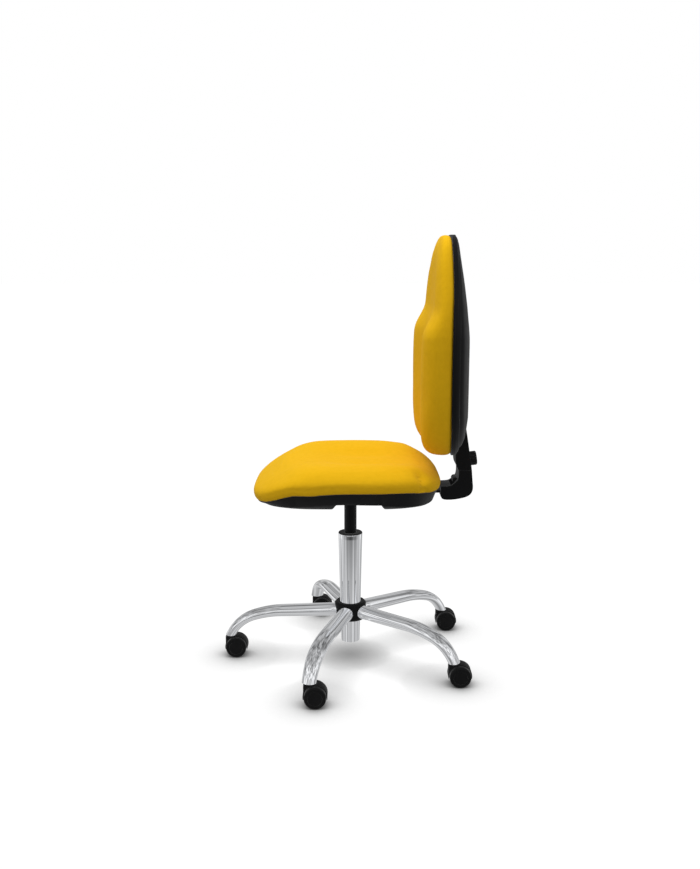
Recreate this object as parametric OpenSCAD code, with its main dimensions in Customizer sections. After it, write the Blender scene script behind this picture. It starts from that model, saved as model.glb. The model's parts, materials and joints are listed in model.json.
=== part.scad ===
// Office chair: castor base, gas lift, tilting back bracket, upholstered seat and back.
// The origin is on the floor under the column, +Z is up, the sitter faces -Y and +X is the sitter's left.
// All lengths are in millimetres and all angles in degrees.

/* [Arms] */
// Number of arms and castors
arm_count = 5; // [5:1:6]
// Radius of the circle on which the castor stems stand
castor_circle_r = 297; // [290:1:310]
// Height of an arm's centre line where it starts in the hub
arm_root_z = 118.5; // [118:0.25:119.5]
// Radius at which an arm starts inside the hub
arm_root_r = 29; // [28.5:0.5:30]
// Slope of the straight stretch of an arm
arm_fall_a = 1.25; // [0.75:0.25:1.5]
// Outer diameter of an arm at the hub
arm_root_d = 32; // [30:0.5:32.5]
// Outer diameter of an arm where its straight stretch ends
arm_bend_d = 28.5; // [27:0.5:29.5]
// Outer diameter of an arm at its open end
arm_end_d = 22.5; // [22:0.5:24]
// Wall of the arm tube
arm_wall = 2; // [1.5:0.1:2.5]
// Bend radius of the long bend
arm_long_bend_r = 250; // [244:2:254]
// Slope at which the long bend ends
arm_long_bend_a = 18; // [17:0.5:18.5]
// Bend radius of the short bend over the castor
arm_short_bend_r = 95; // [92:1:96]
// Slope of the arm at its open end
arm_end_a = 64; // [63:0.5:64.5]
// Height of the arm's open end
arm_end_z = 53.5; // [53.25:0.25:54]

/* [Hub] */
// Diameter of the hub
hub_d = 77; // [76:1:84]
// Height of the hub's lower face
hub_z = 98; // [94:1:100]
// Height of the hub body
hub_h = 43; // [42:1:46]
// Bevel at the hub's edges
hub_bevel = 4; // [2:0.5:5]

/* [Column] */
// Height of the column tube's lower end
column_z = 40; // [36:1:44]
// Height of the column tube's upper end
column_top_z = 315; // [310:1:318]
// Outer diameter of the column tube at its lower end
column_bottom_d = 46; // [45:0.5:47]
// Outer diameter of the column tube at its upper end
column_top_d = 59; // [57:0.5:60]
// Wall of the column tube
column_wall = 2.5; // [2:0.25:3]
// Depth of the recess under the column's bottom plate
column_recess = 8; // [6:0.5:10]
// Thickness of the column's bottom plate
column_plate_t = 4; // [3:0.5:5]
// Length of the guide bush in the column tube
bush_length = 100; // [80:5:120]
// Thickness of the bush's flange on the tube's rim
bush_flange_t = 2; // [1.5:0.5:3]

/* [Gas lift] */
// Outer diameter of the gas cylinder
gas_d = 30; // [28:0.5:31]
// Height of the gas cylinder's lower end
gas_z = 152; // [150:1:160]
// Wall of the gas cylinder
gas_wall = 2.5; // [2:0.25:3]
// Thickness of the gas cylinder's lower end cap
gas_cap_t = 6; // [4:1:8]
// Length of the tapered seat at the cylinder's top
gas_cone_l = 24; // [22:0.5:25]
// Diameter that the tapered seat loses along its length
gas_cone_loss = 2; // [1:0.25:2.5]
// Diameter of the piston rod
rod_d = 10; // [8:0.5:11]
// Diameter of the rod's end in the bottom plate
rod_end_d = 8; // [6:0.5:8]
// Height of the rod's top, inside the gas cylinder
rod_top_z = 212; // [205:1:215]
// Height of the piston
piston_h = 12; // [8:1:15]
// Diameter of the release button
button_d = 8; // [7:0.5:9]
// Travel of the release button
button_travel = 3; // [2.5:0.1:3.5]

/* [Thrust bearing] */
// Outer diameter of the bearing washers
washer_d = 26; // [24:1:28]
// Thickness of a bearing washer
washer_t = 1.5; // [1:0.25:2]
// Diameter of a bearing ball
ball_d = 4; // [3.5:0.25:4.5]
// Number of bearing balls
ball_count = 8; // [6:1:9]
// Diameter of the rod's shoulder on the bearing
shoulder_d = 16; // [15:0.5:18]
// Height of the rod's shoulder
shoulder_h = 4; // [3:0.5:6]

/* [Castors] */
// Diameter of a castor wheel
wheel_d = 50; // [48:1:50]
// Width of a castor wheel
wheel_w = 18; // [16:0.5:19]
// Width between the outer faces of a wheel pair
wheel_pair_w = 52; // [50:0.5:54]
// Distance by which the wheels trail behind the stem
castor_trail = 13.6; // [13:0.1:15]
// Diameter of a castor stem
stem_d = 8; // [7.5:0.5:8.5]
// Length of the stem's round part above the arm's end
stem_rise = 9; // [8:0.5:9.5]
// Diameter of a castor axle
axle_d = 6; // [5:0.5:7]
// Gap between a wheel and the hood round it
hood_gap = 1; // [0.8:0.1:1.1]
// Wall of the hood
hood_wall = 1.5; // [1.3:0.1:1.7]
// Width of the hood
hood_w = 30; // [28:0.5:36]
// Width of the block that holds the stem
block_w = 26; // [24:0.5:28]
// Distance from the stem to the block's front face
block_front = 12.6; // [12:0.2:14]

/* [Mechanism] */
// Width of the mechanism housing
housing_w = 92; // [90:1:100]
// Height of the mechanism housing below the seat board
housing_h = 40; // [38:1:42]
// Sheet thickness of the mechanism
sheet_t = 3; // [2.5:0.25:3.5]
// Distance from the column to the housing's front wall
housing_front = 62; // [58:1:70]
// Distance from the column to the back bracket's hinge
hinge_y = 110; // [105:1:115]
// Height of the back bracket's hinge
hinge_z = 424; // [423:0.5:425]
// Diameter of the hinge pin
hinge_pin_d = 10; // [9:0.5:11]
// Spacing of the seat bolts across the seat
seat_bolt_dx = 160; // [150:5:170]
// Spacing of the seat bolts along the seat
seat_bolt_dy = 200; // [190:5:205]
// Thread diameter of the seat bolts
seat_bolt_d = 8; // [6:1:8]
// Diameter of a lever rod
lever_d = 6; // [5:0.5:6.5]
// Distance from the column to a lever's grip
lever_reach = 150; // [140:5:160]
// Length of a lever's grip
grip_l = 78; // [60:1:80]
// Distance from the column to the tilt lever
tilt_lever_y = 48; // [44:1:52]
// Largest turn of the gas lever
gas_lever_turn = 4.2; // [3.5:0.1:4.3]

/* [Seat] */
// Width of the seat cushion
seat_w = 450; // [430:5:470]
// Depth of the seat cushion
seat_l = 446; // [440:2:456]
// Distance by which the seat's middle lies ahead of the column
seat_ahead = 8; // [5:1:10]
// Height of the bolsters' crest
seat_top_z = 514; // [508:1:525]
// Depth of the dish between the bolsters
seat_dish = 17; // [8:1:22]
// Height of the seam along the seat's sides
seat_seam_z = 464; // [461:1:466]
// Height of the seat board's lower face
board_z = 442; // [441:0.5:443]
// Thickness of the seat board
board_t = 12; // [10:1:14]
// Spacing of the armrest holes in a pair
armrest_dy = 80; // [70:5:80]
// Distance from the seat board's side edge to an armrest hole
armrest_inset = 28.5; // [26:0.5:31]
// Diameter of an armrest hole
armrest_hole_d = 8; // [6:0.5:8.5]
// Height of the pan's lower face
pan_z = 416; // [414:1:418]
// Height of the pan's raised stretch
pan_raised_z = 436; // [435:0.5:437]
// Wall of the pan
pan_wall = 3; // [2.5:0.25:3.5]
// Thread diameter of the pan's screws
pan_screw_d = 5; // [4:0.5:5]

/* [Back bracket] */
// Width of the steel bar
bar_w = 50; // [44:1:52]
// Thickness of the steel bar
bar_t = 6; // [5:0.5:7]
// Distance from the column to the upright's middle
bar_y = 264; // [263.5:0.25:264.5]
// Bend radius at the middle of the bar
bar_bend_r = 20; // [18:1:24]
// Height of the bar's top
bar_top_z = 600; // [595:1:610]
// Width of the bracket's covers
cover_w = 70; // [66:1:76]
// Height of the seam between the lower cover and the sleeve
cover_seam_z = 478; // [476:0.5:480]
// Diameter of the knob
knob_d = 34; // [30:1:36]
// Length of the knob
knob_l = 17; // [15:0.5:18]
// Height of the knob's axis at the sleeve's rear face
knob_z = 500; // [497:1:503]
// Rise of the knob's axis to the rear
knob_tilt = 7; // [5:1:9]
// Thread diameter of the knob's stud
stud_d = 8; // [7:0.5:9]

/* [Back] */
// Width of the back cushion
back_w = 410; // [390:5:430]
// Height of the back cushion's lower edge
back_z = 520; // [518:1:523]
// Height of the back cushion's upper edge
back_top_z = 1030; // [1020:1:1040]
// Distance from the column to the bolsters' crest on the lower back
back_low_crest_y = 159; // [150:1:165]
// Distance from the column to the front of the upper back
back_high_crest_y = 183; // [178:1:188]
// Depth of the hollow between the back's bolsters
back_hollow = 20; // [10:1:24]
// Distance from the column to the back board's front face
back_board_y = 236; // [235:0.5:237]
// Thickness of the back board
back_board_t = 8; // [7:0.5:9]
// Radius to which the back board is curved
back_curve_r = 1400; // [1300:50:1500]
// Distance from the column to the shell's rearmost face
shell_rear_y = 276.5; // [276:0.5:279]
// Wall of the shell
shell_wall = 3; // [2.5:0.25:3.5]
// Thread diameter of the back's screws
back_screw_d = 6; // [5:0.5:6]

/* [Fits] */
// Radial gap of a turning or sliding fit
running_gap = 0.05; // [0.03:0.01:0.08]
// Radial gap of a fit that doesn't move
seated_gap = 0.02; // [0.01:0.01:0.05]
// Gap between curved faces that lie on each other
lying_gap = 0.3; // [0.2:0.05:0.4]
// Gap between parts that pass each other
passing_gap = 1; // [0.8:0.1:1.2]

/* [Hidden] */
ARM_NODES = [for (i = [1:arm_count]) str("base_arm_", i)];
CASTOR_PARTS = ["hood", "stem", "axle", "wheel_left", "wheel_right"];
CASTOR_NODES = [for (i = [1:arm_count], part = CASTOR_PARTS) str("castor_", i, "_", part)];

// Overrun of every cut past the face that it opens
cut = 10;
// Facets of round parts, of the shallow curve of the back board, and of parts blended by hulls
round_fn = 64;
curve_fn = 720;
blend_fn = 32;

// Arm: lengths of its two straight stretches, so that it ends over the castor stem
arm_bends_x = arm_long_bend_r * (sin(arm_long_bend_a) - sin(arm_fall_a))
    + arm_short_bend_r * (sin(arm_end_a) - sin(arm_long_bend_a));
arm_bends_z = arm_long_bend_r * (cos(arm_fall_a) - cos(arm_long_bend_a))
    + arm_short_bend_r * (cos(arm_long_bend_a) - cos(arm_end_a));
arm_left_x = castor_circle_r - arm_root_r - arm_bends_x;
arm_left_z = arm_root_z - arm_end_z - arm_bends_z;
arm_straight_l = (arm_left_x * sin(arm_end_a) - arm_left_z * cos(arm_end_a)) / sin(arm_end_a - arm_fall_a);
arm_straight_x = arm_root_r + arm_straight_l * cos(arm_fall_a);
arm_straight_z = arm_root_z - arm_straight_l * sin(arm_fall_a);
// Facets round an arm, and steps along its bends
arm_sides = 20;
long_steps = 2;
short_steps = 6;
// Turn by which the last ring of the short bend stops short of the plane of the open end
end_lead_a = 1.5;

// Castor
wheel_r = wheel_d / 2;
axle_r = axle_d / 2;
stem_r = stem_d / 2;
hood_in_r = wheel_r + hood_gap;
hood_r = hood_in_r + hood_wall;
wheel_in_x = wheel_pair_w / 2 - wheel_w;
web_x = wheel_in_x - passing_gap;
stem_floor = 4;
// Lowest point of the hood's rear lip, and of its web under the axle
hood_lip_z = 19;
web_low_z = 9;
// Height of the block's top, and of the stem's foot in it
block_top_z = 51;
stem_foot_z = 33;
// Length and small end of the stem's tapered tip
stem_tip_l = 3;
stem_tip_r = 2;
// Radius of the stem's collar on the block
stem_collar_r = 8;
// Wheel: rim, outer disc, hub and the groove that marks the cap
wheel_edge = 2;
rim_t = 4;
disc_t = 4;
wheel_hub_r = 8;
cap_r = 16;
cap_groove = 1;
wheel_web_t = 3;
axle_end_gap = 0.5;
axle_half_l = wheel_pair_w / 2 - disc_t - axle_end_gap;

// Column and gas lift
column_h = column_top_z - column_z;
function column_r(z) = (column_bottom_d + (column_top_d - column_bottom_d) * (z - column_z) / column_h) / 2;
plate_z = column_z + column_recess;
plate_top_z = plate_z + column_plate_t;
bearing_h = 2 * (washer_t + running_gap) + ball_d;
bearing_top_z = plate_top_z + bearing_h;
ball_ring_r = washer_d / 2 - ball_d;
cage_t = 1.5;
cage_reach = 3;
clip_t = 1.5;
clip_wall = 3;
rod_foot = 2;
gas_r = gas_d / 2;
gas_bore_r = gas_r - gas_wall;
bush_gap = 0.1;

// Mechanism
housing_z = board_z - housing_h;
housing_x = housing_w / 2;
housing_past_hinge = 14;
housing_rear = hinge_y + housing_past_hinge;
socket_r = 23;
gas_cone_z = housing_z - sheet_t;
gas_cone_top_z = gas_cone_z + gas_cone_l;
gas_valve_l = 15;
gas_bore_top_z = gas_cone_z - gas_valve_l;
button_rise = 4;
button_top_z = gas_cone_top_z + button_rise;
button_room = 2;
plate_margin = 14;
plate_half_x = seat_bolt_dx / 2 + plate_margin;
plate_half_y = seat_bolt_dy / 2 + plate_margin;
slot_w = 24;
// Hinge of the levers inside the housing's wall
lever_pin_x = 36;
lever_pin_d = 4;
lever_eye_r = 5.5;
lever_eye_w = 8;
lever_z = button_top_z + lying_gap + lever_d / 2;
lever_ear_t = 3;
lever_ear_r = 6;
lever_knee_x = 88;
lever_drop = 26;
lever_ball_extra = 0.2;
grip_w = 26;
grip_t = 7;
grip_over = 20;
tilt_lever_tip_x = 22;
barrel_r = 10;
// Torsion springs on the hinge pin
spring_wire_d = 2.5;
spring_turns = 4;
spring_pitch = 3.1;
spring_r = (hinge_pin_d + spring_wire_d) / 2 + lying_gap;
spring_steps = 10;
spring_sides = 5;
spring_gap = 2;
spring_start_x = bar_w / 2 + spring_gap;

// Seat bolts and screws
bolt_head_h = 5;
bolt_head_r = 6.5;
bolt_bite = 9;
screw_head_h = 3;
screw_head_r = 4.5;
back_screw_head_r = 5.5;
screw_tip_gap = 1;
pan_screw_y = 130;
boss_r = 7;
screw_bite = 9;

// Seat outline and forms
seat_half_x = seat_w / 2;
seat_half_y = seat_l / 2;
outline_steps = 40;
corner_power = 0.625;
foot_corner_power = 0.555;
// Fall of the seam towards the front, in two spans, and towards the rear
seat_side_drop = 6;
seat_nose_drop = 30.5;
seat_rear_drop = 17;
seat_side_span_shares = [0, 0.5];
seat_nose_span_shares = [0.5, 1];
seat_rear_span_share = 0.45;
seat_front_fall = 86;
seat_rear_fall = 86;
seat_board_share = 0.86;
seat_board_half_x = seat_half_x * seat_board_share;
armrest_dx = 2 * (seat_board_half_x - armrest_inset);
pan_screw_inset = 68.5;
pan_screw_x = seat_board_half_x - pan_screw_inset;
seam_share = 0.975;
side_rise = 14;
armrest_back = 28;
armrest_y = armrest_back - seat_ahead;
armrest_access_d = 16;
raised_front_y = -43;
raised_rear_y = 80;
raised_slope = 11;
// Rings of the pan's underside: share of the outline, rise at the sides, rise at the front and the rear
pan_rings = [[0.45, 0, 0], [0.71, 0, 0], [0.8, 7, 0], [0.87, 17, 2], [0.92, 27, 6]];
pan_lip = 4;
pan_rim_share = 0.963;
rim_inside_share = 0.036;
pan_notch_gap = 6;
pan_notch_x = cover_w / 2 + pan_notch_gap;
pan_notch_y = 75;
pan_housing_gap_x = 22;
pan_housing_gap_y = 6;

// Back bracket: outlines of the covers across the bar, and the places on them
bar_half_x = bar_w / 2;
cover_half_x = cover_w / 2;
bar_gap = 0.3;
bar_low_y = bar_y - bar_bend_r;
pad_t = 3;
pad_half = 8;
pad_rear_y = bar_y + bar_t / 2 + bar_gap + pad_t;
knob_rear_y = 286.5;
knob_edge = 2;
knob_flutes = 8;
knob_flute_r = 4;
stud_hole_gap = 0.2;
stud_l = (knob_rear_y - pad_rear_y - lying_gap) / cos(knob_tilt) - stud_d / 2 * tan(knob_tilt);
knuckle_y = 252;
knuckle_z = 450;
knuckle_r = 7;
knuckle_w = 40;
// Side outline of the lower cover below the seam, from its front end round the heel and back by the inner corner
cover_front_y = 216;
cover_heel = [[220.5, 406.5], [238, 405.5], [259, 408], [279, 413], [289.5, 421], [293.5, 434], [291.5, 453]];
cover_inner = [[258.5, 462], [256, 453], [248, 445.5], [240, 439]];
cover_front_low_z = 414;
cover_front_high_z = 438;
// Side outline of the sleeve above the seam: rear line upwards, then front line downwards
sleeve_rear = [[287.5, 492.5], [282.5, 526], [275, 573], [269.5, 600]];
sleeve_front = [[250, 530], [250.5, 499], [252.5, 488]];
seam_rear_y = 289.5;
seam_front_y = 258.5;
seam_gap = 0.3;
sleeve_in_rear_y = 269.5;
sleeve_in_front_y = 250;
sleeve_cavity_cap = 10;
sleeve_top_z = 655;
sleeve_flange_half_x = 55;
sleeve_flange_t = 6;
sleeve_flange_z = 582;
back_screw_x = 44;
back_screw_low_z = 598;
back_screw_high_z = 640;

// Back forms
back_mid_z = (back_z + back_top_z) / 2;
back_half_z = (back_top_z - back_z) / 2;
back_half_x = back_w / 2;
back_board_share = 0.82;
back_side_rise = 13;
back_lean = 10;
back_top_lean = 5;
// Outline of the back: loss of width towards its top and its foot
back_top_loss_share = 0.3;
back_foot_loss_share = 0.08;
// Shell: rings of its rear face, fall of its middle line towards the top and the foot, and its rim
shell_shares = [0.2, 0.4, 0.58, 0.72, 0.82, 0.89, 0.935, 0.965];
shell_rim_share = 0.995;
shell_rim_h = 4;
shell_arch_r = 720;
shell_upper_fall = 9;
shell_top_fall = 16;
shell_low_fall = 5;
shell_foot_fall = 12;
// Spans in which it falls, from the back's middle towards its top and its foot
shell_upper_span_shares = [0.03, 0.5];
shell_top_span_shares = [0.34, 0.93];
shell_low_span_shares = [0.6, 0.85];
shell_foot_span_shares = [0.8, 1];
shell_slot_half_x = cover_half_x + passing_gap;
shell_slot_top_z = 602;
shell_slot_y = 247;
shell_boss_x = 105;
shell_boss_foot_in = 120;
shell_boss_top_in = 130;
shell_boss_low_z = back_z + shell_boss_foot_in;
shell_boss_high_z = back_top_z - shell_boss_top_in;
shell_boss_r = 6;

// Smooth step from 0 at a to 1 at b
function blend_share(v, a, b) = let (t = max(0, min(1, (v - a) / (b - a)))) t * t * (3 - 2 * t);

// Smooth step over a span
function span_share(v, span) = blend_share(v, span[0], span[1]);

// A value raised to a power with its sign kept
function signed_power(v, e) = sign(v) * pow(abs(v), e);

// Direction number k of an outline with rounded corners, inside a unit square
function outline_dir(k, power) = let (a = 360 * k / outline_steps)
    [signed_power(cos(a), power), signed_power(sin(a), power)];

// Closed skin over rings of outline_steps points, from a first pole to a last pole
module skin(first, rings, last) {
    n = outline_steps;
    m = len(rings);
    end = 1 + m * n;
    points = concat([first], [for (ring = rings, p = ring) p], [last]);
    first_cap = [for (k = [0:n - 1]) [0, 1 + k, 1 + (k + 1) % n]];
    sides = [for (r = [0:m - 2], k = [0:n - 1], half = [0:1])
        let (a = 1 + r * n + k, b = 1 + r * n + (k + 1) % n)
        half == 0 ? [a, a + n, b + n] : [a, b + n, b]];
    last_cap = [for (k = [0:n - 1]) [end, end - n + (k + 1) % n, end - n + k]];
    polyhedron(points = points, faces = concat(first_cap, sides, last_cap));
}

// Solid of an outline in the plane of Y and Z, drawn across X
module across(half_x, outline) {
    translate([-half_x, 0, 0]) rotate([90, 0, 90]) linear_extrude(height = 2 * half_x) polygon(outline);
}

// Box from its two corners
module box(low, high) {
    translate(low) cube(high - low);
}

// Round bar along X between two places
module bar_x(x0, x1, r) {
    translate([x0, 0, 0]) rotate([0, 90, 0]) cylinder(h = x1 - x0, r = r, $fn = round_fn);
}

// Round bar along Y between two places
module bar_y_between(y0, y1, r) {
    translate([0, y1, 0]) rotate([90, 0, 0]) cylinder(h = y1 - y0, r = r, $fn = round_fn);
}

// Upright ring
module ring(z0, z1, r_out, r_in) {
    translate([0, 0, z0]) difference() {
        cylinder(h = z1 - z0, r = r_out, $fn = round_fn);
        translate([0, 0, -cut]) cylinder(h = z1 - z0 + 2 * cut, r = r_in, $fn = round_fn);
    }
}

// Angle of arm number i: the first one points to the front
function arm_angle(i) = -90 + 360 * (i - 1) / arm_count;

// Stations along an arm: place in the plane of the arm, and slope
function long_bend_at(a) = [
    arm_straight_x + arm_long_bend_r * (sin(a) - sin(arm_fall_a)),
    arm_straight_z - arm_long_bend_r * (cos(arm_fall_a) - cos(a)), a];
function short_bend_at(a) = let (from = long_bend_at(arm_long_bend_a)) [
    from[0] + arm_short_bend_r * (sin(a) - sin(arm_long_bend_a)),
    from[1] - arm_short_bend_r * (cos(arm_long_bend_a) - cos(a)), a];
arm_stations = concat(
    [[arm_root_r, arm_root_z, arm_fall_a], [arm_straight_x, arm_straight_z, arm_fall_a]],
    [for (k = [1:long_steps]) long_bend_at(arm_fall_a + (arm_long_bend_a - arm_fall_a) * k / long_steps)]);

// Outer radius of an arm at a station, by its place along the arm
function arm_r_at(station) = let (x = station[0])
    x < arm_straight_x
    ? (arm_root_d + (arm_bend_d - arm_root_d) * (x - arm_root_r) / (arm_straight_x - arm_root_r)) / 2
    : (arm_bend_d + (arm_end_d - arm_bend_d) * (x - arm_straight_x) / (castor_circle_r - arm_straight_x)) / 2;

// Point number k of a ring round a station of a tube
function tube_point(station, r, k) = let (a = station[2], b = 360 * k / arm_sides)
    [station[0] + r * sin(b) * sin(a), r * cos(b), station[1] + r * sin(b) * cos(a)];
function tube_ring(station, r) = [for (k = [0:arm_sides - 1]) tube_point(station, r, k)];

// Slope at which a line along the short bend, at a height over its centre line, has its last ring
short_mid_z = long_bend_at(arm_long_bend_a)[1] - arm_short_bend_r * cos(arm_long_bend_a);
function last_slope(rise) = min(arm_end_a, acos((arm_end_z - short_mid_z) / (arm_short_bend_r + rise))) - end_lead_a;

// Station at a share of the short bend, for point number k of a ring; each line turns as far as its end allows
function bend_station(share, r, k) =
    short_bend_at(arm_long_bend_a + (last_slope(r * sin(360 * k / arm_sides)) - arm_long_bend_a) * share);
function bend_ring(share, r) = [for (k = [0:arm_sides - 1]) tube_point(bend_station(share, r, k), r, k)];
function bend_r_at(share) = arm_r_at(short_bend_at(arm_long_bend_a + (arm_end_a - arm_long_bend_a) * share));

// Ring in the plane of the arm's open end
function end_ring(r) = [for (k = [0:arm_sides - 1])
    let (station = bend_station(1, r, k), p = tube_point(station, r, k), t = (p[2] - arm_end_z) / sin(station[2]))
        [p[0] + t * cos(station[2]), p[1], arm_end_z]];

// Sides between rings of n points that follow each other; the loop is closed where wrap is 1
function side_faces(n, m, wrap) = [for (r = [0:m - 2 + wrap], k = [0:n - 1], half = [0:1])
    let (a = r * n + k, b = r * n + (k + 1) % n, c = (a + n) % (m * n), d = (b + n) % (m * n))
    half == 0 ? [a, c, d] : [a, d, b]];

// Tube through rings that run along its outside and back along its bore
module tube_skin(rings, n) {
    polyhedron(points = [for (ring = rings, p = ring) p], faces = side_faces(n, len(rings), 1));
}

// Solid through rings, closed by its first and last ring
module bar_skin(rings, n) {
    m = len(rings);
    ends = [[for (k = [0:n - 1]) k], [for (k = [0:n - 1]) m * n - 1 - k]];
    polyhedron(points = [for (ring = rings, p = ring) p], faces = concat(side_faces(n, m, 0), ends));
}

// Frame at the start of an arm, with X along it
module at_arm_root(i) {
    rotate([0, 0, arm_angle(i)]) translate([arm_root_r, 0, arm_root_z]) rotate([0, arm_fall_a, 0]) children();
}

// Frame at the castor stem of arm number i, with Y along the chair and not along the arm
module at_castor(i) {
    a = arm_angle(i);
    translate([castor_circle_r * cos(a), castor_circle_r * sin(a), 0]) children();
}

// Rings of an arm from its root to its open end, at a depth under its outside
function arm_rings(depth) = concat(
    [for (station = arm_stations) tube_ring(station, arm_r_at(station) - depth)],
    [for (k = [1:short_steps]) bend_ring(k / short_steps, bend_r_at(k / short_steps) - depth)],
    [end_ring(arm_end_d / 2 - depth)]);

module base_arm(i) {
    bore = arm_rings(arm_wall);
    color([0.85, 0.86, 0.88]) rotate([0, 0, arm_angle(i)])
        tube_skin(concat(arm_rings(0), [for (k = [len(bore) - 1:-1:0]) bore[k]]), arm_sides);
}

// Bore of a castor stem, from the arm's open end upwards
module stem_space(gap) {
    translate([0, 0, arm_end_z - cut]) cylinder(h = stem_rise + cut, r = stem_r + gap, $fn = round_fn);
    translate([0, 0, arm_end_z + stem_rise])
        cylinder(h = stem_tip_l + gap, r1 = stem_r + gap, r2 = stem_tip_r + gap, $fn = round_fn);
}

module castor_sockets() {
    plug_r = (arm_end_d / 2 - arm_wall) * cos(180 / arm_sides) - seated_gap;
    rings = [bend_ring(1 - 1 / short_steps, plug_r), bend_ring(1, plug_r), end_ring(plug_r)];
    color([0.2, 0.2, 0.21]) for (i = [1:arm_count]) difference() {
        rotate([0, 0, arm_angle(i)]) bar_skin(rings, arm_sides);
        at_castor(i) stem_space(running_gap);
    }
}

module base_hub() {
    hub_r = hub_d / 2;
    color([0.06, 0.06, 0.065]) difference() {
        union() {
            translate([0, 0, hub_z]) cylinder(h = hub_bevel, r1 = hub_r - hub_bevel, r2 = hub_r, $fn = round_fn);
            translate([0, 0, hub_z + hub_bevel]) cylinder(h = hub_h - 2 * hub_bevel, r = hub_r, $fn = round_fn);
            translate([0, 0, hub_z + hub_h - hub_bevel])
                cylinder(h = hub_bevel, r1 = hub_r, r2 = hub_r - hub_bevel, $fn = round_fn);
        }
        for (i = [1:arm_count]) at_arm_root(i) bar_x(0, hub_r, arm_root_d / 2 + seated_gap);
        translate([0, 0, hub_z - cut]) cylinder(
            h = hub_h + 2 * cut, r1 = column_r(hub_z - cut) + seated_gap,
            r2 = column_r(hub_z + hub_h + cut) + seated_gap, $fn = round_fn);
    }
}

module column_tube() {
    color([0.87, 0.88, 0.9]) difference() {
        translate([0, 0, column_z]) cylinder(h = column_h, r1 = column_r(column_z), r2 = column_r(column_top_z),
            $fn = round_fn);
        translate([0, 0, plate_top_z]) cylinder(
            h = column_top_z + cut - plate_top_z, r1 = column_r(plate_top_z) - column_wall,
            r2 = column_r(column_top_z + cut) - column_wall, $fn = round_fn);
        translate([0, 0, column_z - cut])
            cylinder(h = column_recess + cut, r = column_r(column_z) - column_wall, $fn = round_fn);
        translate([0, 0, column_z - cut])
            cylinder(h = column_h, r = rod_end_d / 2 + running_gap, $fn = round_fn);
    }
}

module guide_bush() {
    low_z = column_top_z - bush_length;
    color([0.07, 0.07, 0.075]) difference() {
        union() {
            translate([0, 0, low_z]) cylinder(
                h = bush_length, r1 = column_r(low_z) - column_wall - bush_gap,
                r2 = column_r(column_top_z) - column_wall - bush_gap, $fn = round_fn);
            translate([0, 0, column_top_z])
                cylinder(h = bush_flange_t, r1 = column_top_d / 2, r2 = column_top_d / 2 - bush_flange_t / 2,
                    $fn = round_fn);
        }
        translate([0, 0, low_z - cut])
            cylinder(h = bush_length + 2 * cut, r = gas_r + running_gap, $fn = round_fn);
    }
}

module thrust_bearing() {
    ball_z = plate_top_z + bearing_h / 2;
    hole_r = rod_end_d / 2 + running_gap;
    color([0.6, 0.6, 0.62]) {
        ring(plate_top_z, plate_top_z + washer_t, washer_d / 2, hole_r);
        ring(bearing_top_z - washer_t, bearing_top_z, washer_d / 2, hole_r);
        for (k = [0:ball_count - 1]) rotate([0, 0, 360 * k / ball_count])
            translate([ball_ring_r, 0, ball_z]) sphere(d = ball_d, $fn = blend_fn);
        difference() {
            ring(ball_z - cage_t / 2, ball_z + cage_t / 2, ball_ring_r + cage_reach, ball_ring_r - cage_reach);
            for (k = [0:ball_count - 1]) rotate([0, 0, 360 * k / ball_count])
                translate([ball_ring_r, 0, ball_z - cut]) cylinder(h = 2 * cut, d = ball_d + 2 * running_gap,
                    $fn = blend_fn);
        }
    }
}

module piston_rod() {
    foot_z = column_z + rod_foot;
    shoulder_z = bearing_top_z + running_gap;
    color([0.62, 0.63, 0.65]) {
        translate([0, 0, foot_z]) cylinder(h = shoulder_z - foot_z, d = rod_end_d, $fn = round_fn);
        translate([0, 0, shoulder_z]) cylinder(h = shoulder_h, d = shoulder_d, $fn = round_fn);
        translate([0, 0, shoulder_z + shoulder_h])
            cylinder(h = rod_top_z - shoulder_z - shoulder_h, d = rod_d, $fn = round_fn);
        translate([0, 0, rod_top_z - piston_h])
            cylinder(h = piston_h, r = gas_bore_r - running_gap, $fn = round_fn);
    }
}

module rod_clip() {
    clip_top_z = plate_z - running_gap;
    color([0.5, 0.5, 0.52])
        ring(clip_top_z - clip_t, clip_top_z, rod_end_d / 2 + clip_wall, rod_end_d / 2 + seated_gap);
}

// Tapered seat at the top of the gas cylinder, widened by a gap
module gas_cone(gap) {
    translate([0, 0, gas_cone_z])
        cylinder(h = gas_cone_l, r1 = gas_r + gap, r2 = gas_r - gas_cone_loss / 2 + gap, $fn = round_fn);
}

module gas_cylinder() {
    color([0.09, 0.09, 0.1]) difference() {
        union() {
            translate([0, 0, gas_z]) cylinder(h = gas_cone_z - gas_z, r = gas_r, $fn = round_fn);
            gas_cone(0);
        }
        translate([0, 0, gas_z + gas_cap_t])
            cylinder(h = gas_bore_top_z - gas_z - gas_cap_t, r = gas_bore_r, $fn = round_fn);
        translate([0, 0, gas_z - cut]) cylinder(h = 2 * cut, r = rod_d / 2 + running_gap, $fn = round_fn);
        translate([0, 0, gas_cone_z]) cylinder(h = gas_cone_l + cut, r = button_d / 2 + running_gap,
            $fn = round_fn);
    }
}

module release_button() {
    foot_z = gas_cone_z + button_travel + button_room;
    color([0.7, 0.7, 0.72]) translate([0, 0, foot_z])
        cylinder(h = button_top_z - foot_z, d = button_d, $fn = round_fn);
}

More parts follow.
